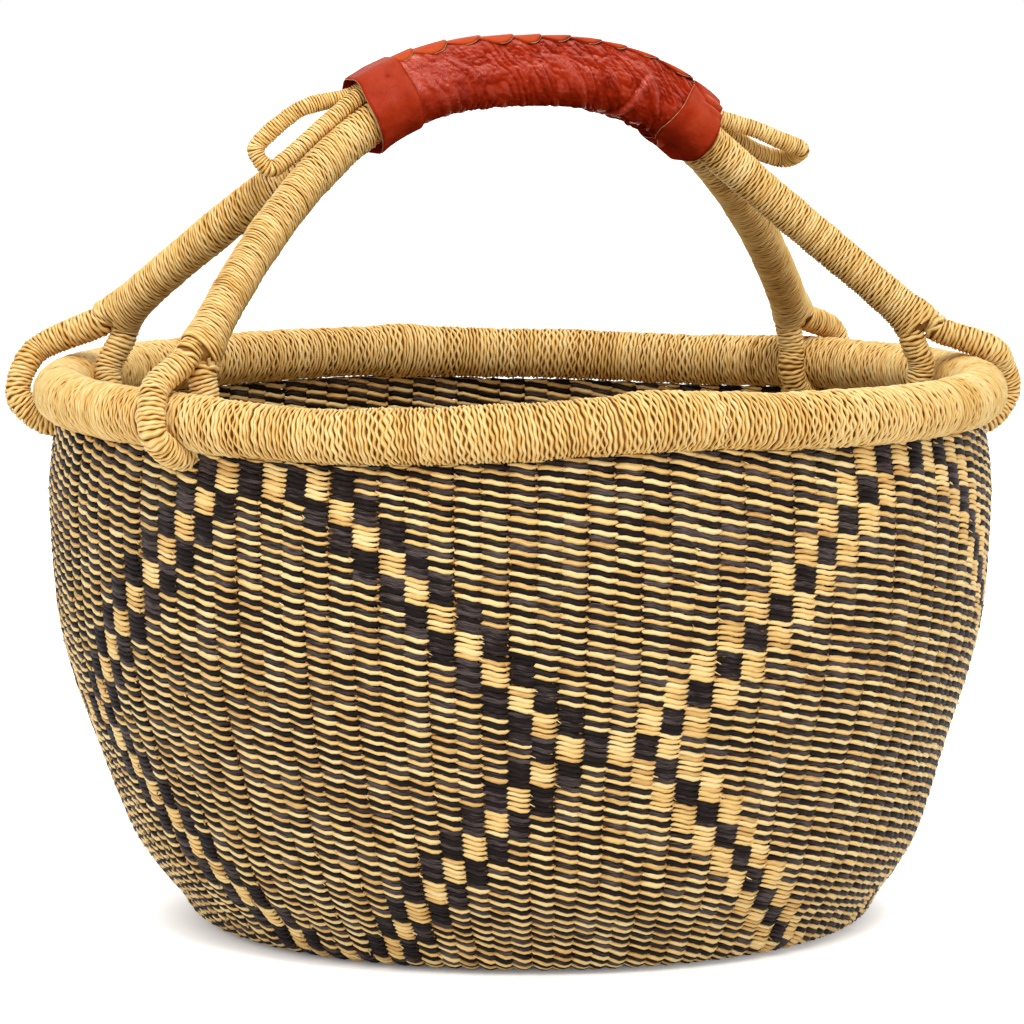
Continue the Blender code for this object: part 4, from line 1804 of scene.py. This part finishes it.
@dataclass
class LeatherTube:
    """A tube of leather pulled tight over the bundle, with painted light and shade in its tone."""

    name: str
    bundle: BoundBundle
    start: float
    end: float
    offset: float
    thickness: float
    relief: Callable[[Array, Array], Array]
    finish: LeatherFinish
    start_shear: float = 0.0
    end_shear: float = 0.0
    start_draw: float = 0.0
    painted_highlight: float = 0.0
    around: int = 150
    step: float = 0.0007
    inner_step: int = 10
    edge_roll: float = 0.0005
    girth: float = 0.105
    # Painted highlight on the upward slopes of the blisters.
    outer_tone: float = 0.5
    inner_tone: float = 0.3
    # Painted light and shade in the tone: raised relief lighter and hollows darker, upward faces lighter, and
    # rolled edges darker.
    height_shade: float = 230.0
    upward_light: float = 0.14
    edge_shade: float = -0.12
    top_share: float = 0.27
    highlight_limits: tuple[float, float] = (-0.16, 0.6)
    upward_highlight: float = 0.35
    outside: Array = field(init=False)

    def build(self, *nodes: str) -> None:
        """Makes the tube.

        Args:
            *nodes: The solids that it stands for.
        """
        loop, normal, share = self.bundle.hull(self.around)
        upward = normal[None, :, 1]
        count = max(8, round(abs(self.end - self.start) / self.step))
        place = np.linspace(0.0, 1.0, count + 1)
        shear = self.start_shear * (1 - place) + self.end_shear * place
        along = self.start + (self.end - self.start) * place
        along = along[:, None] + shear[:, None] * loop[None, :, 1]
        under = rising(share, 0.62, 0.14) * rising(share, 0.97, -0.10)
        along = along + self.start_draw * ((1 - place) ** 2)[:, None] * under[None, :]
        relief = self.relief(place[:, None] + 0 * share, share[None, :] + 0 * place[:, None])
        distance = np.minimum(place, 1 - place)[:, None] * (self.end - self.start)
        roll = self.edge_roll * np.clip(1 - distance / (2 * self.edge_roll), 0.0, 1.0) ** 2
        height = self.offset + self.thickness + relief - roll
        self.outside = self.bundle.lay(along, loop[None] + normal[None] * height[:, :, None])
        kept = np.unique(np.append(np.arange(0, count, self.inner_step), count))[::-1]
        inside = self.bundle.lay(along, loop[None] + normal[None] * self.offset)[kept]
        # Painted light and shade: hollows darker, upward faces lighter, rolled edges darker, and painted
        # highlights on the upward slopes of the relief.
        facing = np.gradient(relief, axis=1) / (self.girth / self.around) * np.sign(share - self.top_share)
        shade = self.outer_tone + self.height_shade * relief + self.upward_light * upward
        shade = shade + self.edge_shade * (roll > 0)
        slope_highlight = self.painted_highlight * np.clip(facing, *self.highlight_limits)
        shade = shade + slope_highlight * np.clip(self.upward_highlight + upward, 0.1, 1.0)
        tone = np.concatenate([shade, np.full(inside.shape[:2], self.inner_tone), shade[:1]])
        mesh = RingMesh(self.name)
        shell = np.concatenate([self.outside, inside, self.outside[:1]])
        mesh.add(shell[None], tone[None], 0.1, np.zeros(1), capped=False)
        dressed(mesh.build(self.finish), "red_leather", *nodes)


@dataclass
class SeamTongues:
    """The seam along the top: leather tongues, each lapped over the next, with a scalloped lower edge."""

    bundle: BoundBundle
    cusps: tuple[float, ...]
    offset: float
    lap: float = 0.30
    thickness: float = 0.0010
    tip_lift: float = 0.0007
    arch_lift: float = 0.0003
    edge_steepness: float = 14.0
    back_share: float = 0.235
    top_share: float = 0.287
    front_share: float = 0.346
    tone: float = 0.62
    tip_tone: float = -0.10
    # Painted shade along the lower edge of each tongue.
    edge_shade: float = -0.45
    rows: int = 26
    columns: int = 14
    seed: int = 8
    edges: list[Array] = field(default_factory=list)

    def tongue(self, start: float, length: float, depth: float) -> Array:
        """One tongue as rings across it, each ring a flat loop of leather. Its lower edge is kept too.

        Args:
            start: Where its left end lies along the handle.
            length: Its length along the handle.
            depth: How far down the front its edge reaches, with 1 the usual depth.

        Returns:
            The rings, as rings by sides by 3.
        """
        loop, normal, share = self.bundle.hull(360)
        place = np.linspace(0.0, 1.0, self.rows)
        belly = np.maximum(np.sin(math.pi * place**1.2), 0.0) ** 0.6
        low = self.top_share + (self.front_share - self.top_share) * belly * depth
        across = np.linspace(0.0, 1.0, self.columns)
        spots = self.back_share + (low[:, None] - self.back_share) * across[None, :]
        lift = self.tip_lift * place[:, None] ** 1.5 + self.arch_lift * np.sin(math.pi * across)[None, :]
        edge = np.minimum(across, 1 - across)[None, :] * self.edge_steepness
        top = self.offset + self.thickness * (1 - 0.5 * np.clip(1 - edge, 0.0, 1.0)) + lift
        along = start + length * place[:, None] + 0 * across
        flat, out = read_columns(spots, share, loop), read_columns(spots, share, normal)
        upper, lower = (
            self.bundle.lay(along, flat + out * reach[..., None]) for reach in (top, top - self.thickness)
        )
        self.edges.append(upper[self.rows // 2 :, -1])
        return np.concatenate([upper, lower[:, ::-1]], axis=1)

    def build(self, *nodes: str) -> None:
        """Makes all the tongues.

        Args:
            *nodes: The solids that they stand for.
        """
        rng = np.random.default_rng(self.seed)
        tongues = []
        for start, end in zip(self.cusps, self.cusps[1:]):
            length = end - start
            tongue = self.tongue(start - self.lap * length, length * (1 + self.lap), rng.uniform(0.8, 1.1))
            tongues.append(tongue)
        rings = np.stack(tongues)
        place = np.linspace(0.0, 1.0, self.rows)[None, :, None]
        # Painted shade along the lower edge of each tongue, where it laps over the next.
        edge = np.zeros(2 * self.columns)
        edge[[self.columns - 1, self.columns]] = self.edge_shade
        tone = self.tone + self.tip_tone * place + edge[None, None, :] + 0 * rings[..., 0]
        mesh = RingMesh("seam_tongues")
        mesh.add(rings[:, :, ::-1], tone[:, :, ::-1], 0.03, rng.uniform(0, 5, len(rings)))
        dressed(mesh.build(SEAM_LEATHER), "red_leather", *nodes)


@dataclass
class LeatherGrip:
    """The leather on the handle: a long sleeve, a cuff over each end, and the seam on top.

    In the reliefs, a place runs from 0 at a tube's left end to 1 at its right end, and a share from 0 to 1
    round it. Heights of relief are in millimetres.
    """

    handle: Handle
    thickness: float = 0.0014
    cuff_thickness: float = 0.0009
    clearance: float = 0.0008
    left_cuff_gap: float = 0.0009
    right_cuff_gap: float = 0.0002
    left_reach: float = 0.0756
    right_reach: float = 0.0853
    left_cuff_end: float = -0.0556
    right_cuff_start: float = 0.0674
    left_overhang: float = 0.0040
    right_overhang: float = 0.0020
    left_shear: float = 0.30
    left_end_shear: float = 0.08
    right_shear: float = 0.28
    right_end_shear: float = -0.17
    raw_edge_radius: float = 0.00016
    seam_cusps: tuple[float, ...] = (
        -0.0570,
        -0.0462,
        -0.0328,
        -0.0185,
        -0.0041,
        0.0087,
        0.0220,
        0.0351,
        0.0452,
        0.0586,
        0.0725,
    )
    blister_height: float = 0.50
    pebble_height: float = 0.22
    dent_height: float = 0.25
    swell_height: float = 0.6
    slant: float = 0.30
    wobble: float = 0.012
    gathers: int = 57
    gather_spot: Ridge = Ridge(0.31, 0.055, 0.75)
    underside: Ridge = Ridge(0.635, 0.035)
    fold: Ridge = Ridge(0.0, 0.009, 0.9)
    fold_crease: Ridge = Ridge(-0.017, 0.006, -0.5)
    fold_place: float = 0.80
    fold_slant: float = 0.32
    fold_start: float = 0.43
    fold_end: float = 0.76
    pit: tuple[Ridge, Ridge] = (Ridge(0.60, 0.045), Ridge(0.375, 0.010, -0.7))
    knot: tuple[Ridge, Ridge] = (Ridge(0.26, 0.11), Ridge(0.735, 0.022, 3.2))
    lips: tuple[Ridge, Ridge] = (Ridge(0.380, 0.013, 1.5), Ridge(0.430, 0.013, 1.05))
    tuck: Ridge = Ridge(0.405, 0.010, -0.9)
    line: Ridge = Ridge(0.335, 0.009, -0.9)
    line_slant: float = 0.12
    seed: int = 5

    def sleeve_relief(self, place: Array, share: Array) -> Array:
        """The sleeve's blisters, pebbles and dents, its small folds underneath and one larger fold.

        Args:
            place: Places along the sleeve.
            share: Shares of the way round it.

        Returns:
            The height of the relief.
        """
        rng = np.random.default_rng(self.seed)
        wobble = dapple(rng, (12, 6), place, share)
        slanted = np.clip(place - self.slant * (share - 0.45) + self.wobble * wobble, 0.0, 1.0)
        strong = 0.55 + 0.45 * rising(place, 0.15, 0.3)
        blisters = self.blister_height * (2 * np.abs(dapple(rng, (56, 14), slanted, share)) ** 0.7 - 0.9)
        pebbles = self.pebble_height * (2 * np.abs(dapple(rng, (105, 54), slanted, share)) ** 0.8 - 0.8)
        dents = self.dent_height * dapple(rng, (9, 5), place, share)
        swell = self.swell_height * rising(place, 0.30, -0.20)
        under = self.underside.over(share)
        gathers = np.maximum(np.sin(2 * math.pi * self.gathers * place + 3 * wobble), -0.3)
        gathers = gathers * self.gather_spot.over(place) * under
        off_fold = place - self.fold_place + self.fold_slant * (share - 0.47)
        fold = self.fold.over(off_fold) * (0.7 + 1.0 * under) + self.fold_crease.over(off_fold)
        fold = fold * rising(share, self.fold_start, 0.08) * (share < self.fold_end)
        return MM * (strong * (blisters + pebbles) + dents + swell + gathers + fold)

    def cuff_relief(self, place: Array, share: Array) -> Array:
        """A cuff's relief: nearly smooth, with faint ripples."""
        rng = np.random.default_rng(self.seed + 1)
        return MM * (0.22 * dapple(rng, (4, 6), place, share) + 0.06 * dapple(rng, (16, 50), place, share))

    def left_cuff_relief(self, place: Array, share: Array) -> Array:
        """The left cuff's relief, with the small pit on its front."""
        pit = self.pit[0].over(place) * self.pit[1].over(share)
        return self.cuff_relief(place, share) + MM * pit

    def right_cuff_relief(self, place: Array, share: Array) -> Array:
        """The right cuff's relief, with the tuck near its top and the knotted end under its edge."""
        tuck = self.tuck.over(share) * rising(place, 0.42, 0.15)
        lips = (self.lips[0].over(share) + self.lips[1].over(share)) * rising(place, 0.38, 0.25)
        line = self.line.over(share - self.line_slant * place) * rising(place, 0.62, -0.1)
        knot = self.knot[0].over(place) * self.knot[1].over(share)
        return self.cuff_relief(place, share) + MM * (lips + tuck + line + knot)

    def raw_edges(self, lines: list[Array], loops: list[Array]) -> None:
        """Makes the pale cut edges of the leather, as fine beads.

        Args:
            lines: Edges with two ends.
            loops: Edges that go all the way round.
        """
        mesh = RingMesh("leather_raw_edges")
        turn = round_turn(4)
        edges = [(points, False) for points in lines] + [(points, True) for points in loops]
        for points, closed in edges:
            path = Path(points, np.array((0.1, 1.0, 0.2)), closed)
            ring = path.sides[:, None] * np.cos(turn)[:, None] + path.ups[:, None] * np.sin(turn)[:, None]
            rings = path.points[:, None] + self.raw_edge_radius * ring
            mesh.add(rings[None], np.full((1, len(rings)), 0.5), 0.001, np.zeros(1))
        dressed(mesh.build(RAW_EDGE), "red_leather", "left_collar", "right_collar", "grip_lacing")

    def build(self) -> None:
        """Makes the sleeve, both cuffs, the seam and the raw edges."""
        bundle = BoundBundle(self.handle)
        top = self.clearance + self.thickness
        LeatherTube(
            "grip_sleeve",
            bundle,
            self.left_overhang - self.left_reach,
            self.right_reach - self.right_overhang,
            self.clearance,
            self.thickness,
            self.sleeve_relief,
            SLEEVE_LEATHER,
            start_shear=self.left_shear,
            end_shear=self.right_end_shear,
            painted_highlight=1.2,
            around=190,
            step=0.0006,
        ).build("leather_grip")
        left = LeatherTube(
            "left_cuff",
            bundle,
            -self.left_reach,
            self.left_cuff_end,
            top + self.left_cuff_gap,
            self.cuff_thickness,
            self.left_cuff_relief,
            CUFF_LEATHER,
            start_shear=self.left_shear,
            end_shear=self.left_end_shear,
        )
        left.build("left_collar")
        right = LeatherTube(
            "right_cuff",
            bundle,
            self.right_cuff_start,
            self.right_reach,
            top + self.right_cuff_gap,
            self.cuff_thickness,
            self.right_cuff_relief,
            CUFF_LEATHER,
            start_shear=self.right_shear,
            end_shear=self.right_end_shear,
            start_draw=0.0065,
            painted_highlight=0.5,
        )
        right.build("right_collar")
        seam = SeamTongues(bundle, self.seam_cusps, top)
        seam.build("grip_lacing")
        self.raw_edges(seam.edges, [left.outside[0], right.outside[0]])


# The stage, the light and the camera


@dataclass(frozen=True)
class Lamp:
    """One square soft lamp that faces the basket. Its azimuth is counted from the camera's."""

    name: str
    azimuth: float
    height: float
    distance: float
    size: float
    watts: float
    aim_height: float = 0.18

    def build(self, camera_azimuth: float) -> None:
        """Makes the lamp."""
        data = bpy.data.lights.new(self.name, "AREA")
        data.size = self.size
        data.energy = self.watts
        stand = level_direction(camera_azimuth + self.azimuth) * self.distance + UP * self.height
        lamp = place_object(self.name, data, stand)
        aim = Vector(UP * self.aim_height) - lamp.location
        lamp.rotation_euler = aim.to_track_quat("-Z", "Y").to_euler()


@dataclass
class Studio:
    """A pale floor, soft light all round, and the camera at the photograph's angle."""

    camera_azimuth: float = -113.5
    camera_distance: float = 2.4
    camera_height: float = 0.4454
    camera_pitch: float = 6.33
    camera_slide: float = 0.0037
    focal_length: float = 191.4
    sensor_width: float = 36.0
    floor_size: float = 30.0
    floor_depth: float = 0.0004
    floor_white: float = 0.95
    shadow_edges: tuple[float, float, float] = (0.130, 0.168, 2.0)
    floor_glows: tuple[float, float, float] = (0.02, 0.74, 0.2)
    sky_level: float = 0.52
    lamps: tuple[Lamp, ...] = (
        Lamp("key_lamp", 12.0, 2.6, 1.9, 1.1, 60.0),
        Lamp("fill_lamp", -60.0, 1.4, 2.6, 1.6, 15.0),
        Lamp("top_lamp", 160.0, 3.0, 0.9, 1.6, 14.0),
    )

    def build_camera(self) -> None:
        """Makes the camera and puts it in use."""
        data = bpy.data.cameras.new("camera")
        data.lens = self.focal_length
        data.sensor_width = self.sensor_width
        data.clip_end = 100.0
        out = level_direction(self.camera_azimuth)
        place = out * self.camera_distance + UP * self.camera_height - np.cross(UP, out) * self.camera_slide
        camera = place_object("camera", data, place)
        turns = (90.0 - self.camera_pitch, 0.0, self.camera_azimuth + 90.0)
        camera.rotation_euler = [math.radians(turn) for turn in turns]
        bpy.context.scene.camera = camera

    def build_floor(self) -> None:
        """Makes the white floor, which keeps the basket's shadow and glows more the further out it is."""
        half = self.floor_size / 2
        corners = [(-half, -half, 0), (half, -half, 0), (half, half, 0), (-half, half, 0)]
        mesh = bpy.data.meshes.new("floor")
        mesh.from_pydata(corners, [], [(0, 1, 2, 3)])
        made = bpy.data.materials.new("floor_white")
        made.use_nodes = True
        nodes = Nodes(made.node_tree)
        place = nodes.add("TexCoord").outputs["Object"]
        far = nodes.add("VectorMath", {0: place}, operation="LENGTH").outputs["Value"]
        inner, outer, last = self.shadow_edges
        low, full, more = self.floor_glows
        near = {"Value": far, "From Min": inner, "From Max": outer, "To Min": low, "To Max": full}
        wide = {"Value": far, "From Min": outer, "From Max": last, "To Min": 0.0, "To Max": more}
        glows = [nodes.add("MapRange", values).outputs["Result"] for values in (near, wide)]
        look = {
            "Base Color": (self.floor_white, self.floor_white, self.floor_white, 1.0),
            "Roughness": 0.9,
            "Emission Color": (*WHITE, 1.0),
            "Emission Strength": nodes.math("MULTIPLY", nodes.seen(), nodes.math("ADD", *glows)),
        }
        nodes.feed(made.node_tree.nodes["Principled BSDF"], look)
        mesh.materials.append(made)
        floor = place_object("floor", mesh, -UP * self.floor_depth)

    def build_sky(self) -> None:
        """Sets the even white light from all round, which the camera sees as a white background."""
        world = bpy.data.worlds.new("studio_white")
        world.use_nodes = True
        nodes = Nodes(world.node_tree)
        level = {"Value": nodes.seen(), "To Min": self.sky_level, "To Max": 1.0}
        strength = nodes.add("MapRange", level).outputs["Result"]
        nodes.feed(world.node_tree.nodes["Background"], {"Color": (*WHITE, 1.0), "Strength": strength})
        bpy.context.scene.world = world

    def build(self) -> None:
        """Makes the whole studio."""
        self.build_camera()
        self.build_floor()
        self.build_sky()
        for lamp in self.lamps:
            lamp.build(self.camera_azimuth)
        bpy.context.scene.view_settings.view_transform = "Standard"


def main() -> None:
    """Builds the studio, then the basket from its bowl up to the leather on its handle."""
    logging.basicConfig(level=logging.INFO, format="%(name)s %(message)s")
    Studio().build()
    bowl_low, bowl_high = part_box("woven_bowl")
    rim_low, rim_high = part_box("rim_wrap")
    rim = Rim(
        outer_diameter=rim_high.x - rim_low.x, tube_diameter=rim_high.z - rim_low.z, top_height=rim_high.z
    )
    line = WallLine(
        widest_radius=(bowl_high.x - bowl_low.x) / 2,
        base_radius=0.138,
        neck_height=rim_low.z,
        neck_radius=rim.centre_radius + 0.00225,
        inset=0.0024,
    )
    WovenBowl(line).build()
    rim.build()
    handle = Handle(rim, GripLine(top_height=0.3702))
    handle.build()
    EarLoop("left", -1, handle, reach=0.052, lift=0.0035, bend=-0.0040, roll=62.0).build()
    EarLoop("right", 1, handle, reach=0.046, lift=0.0025, bend=0.0105, roll=-32.0).build()
    LeatherGrip(handle).build()


if __name__ == "__main__":
    main()
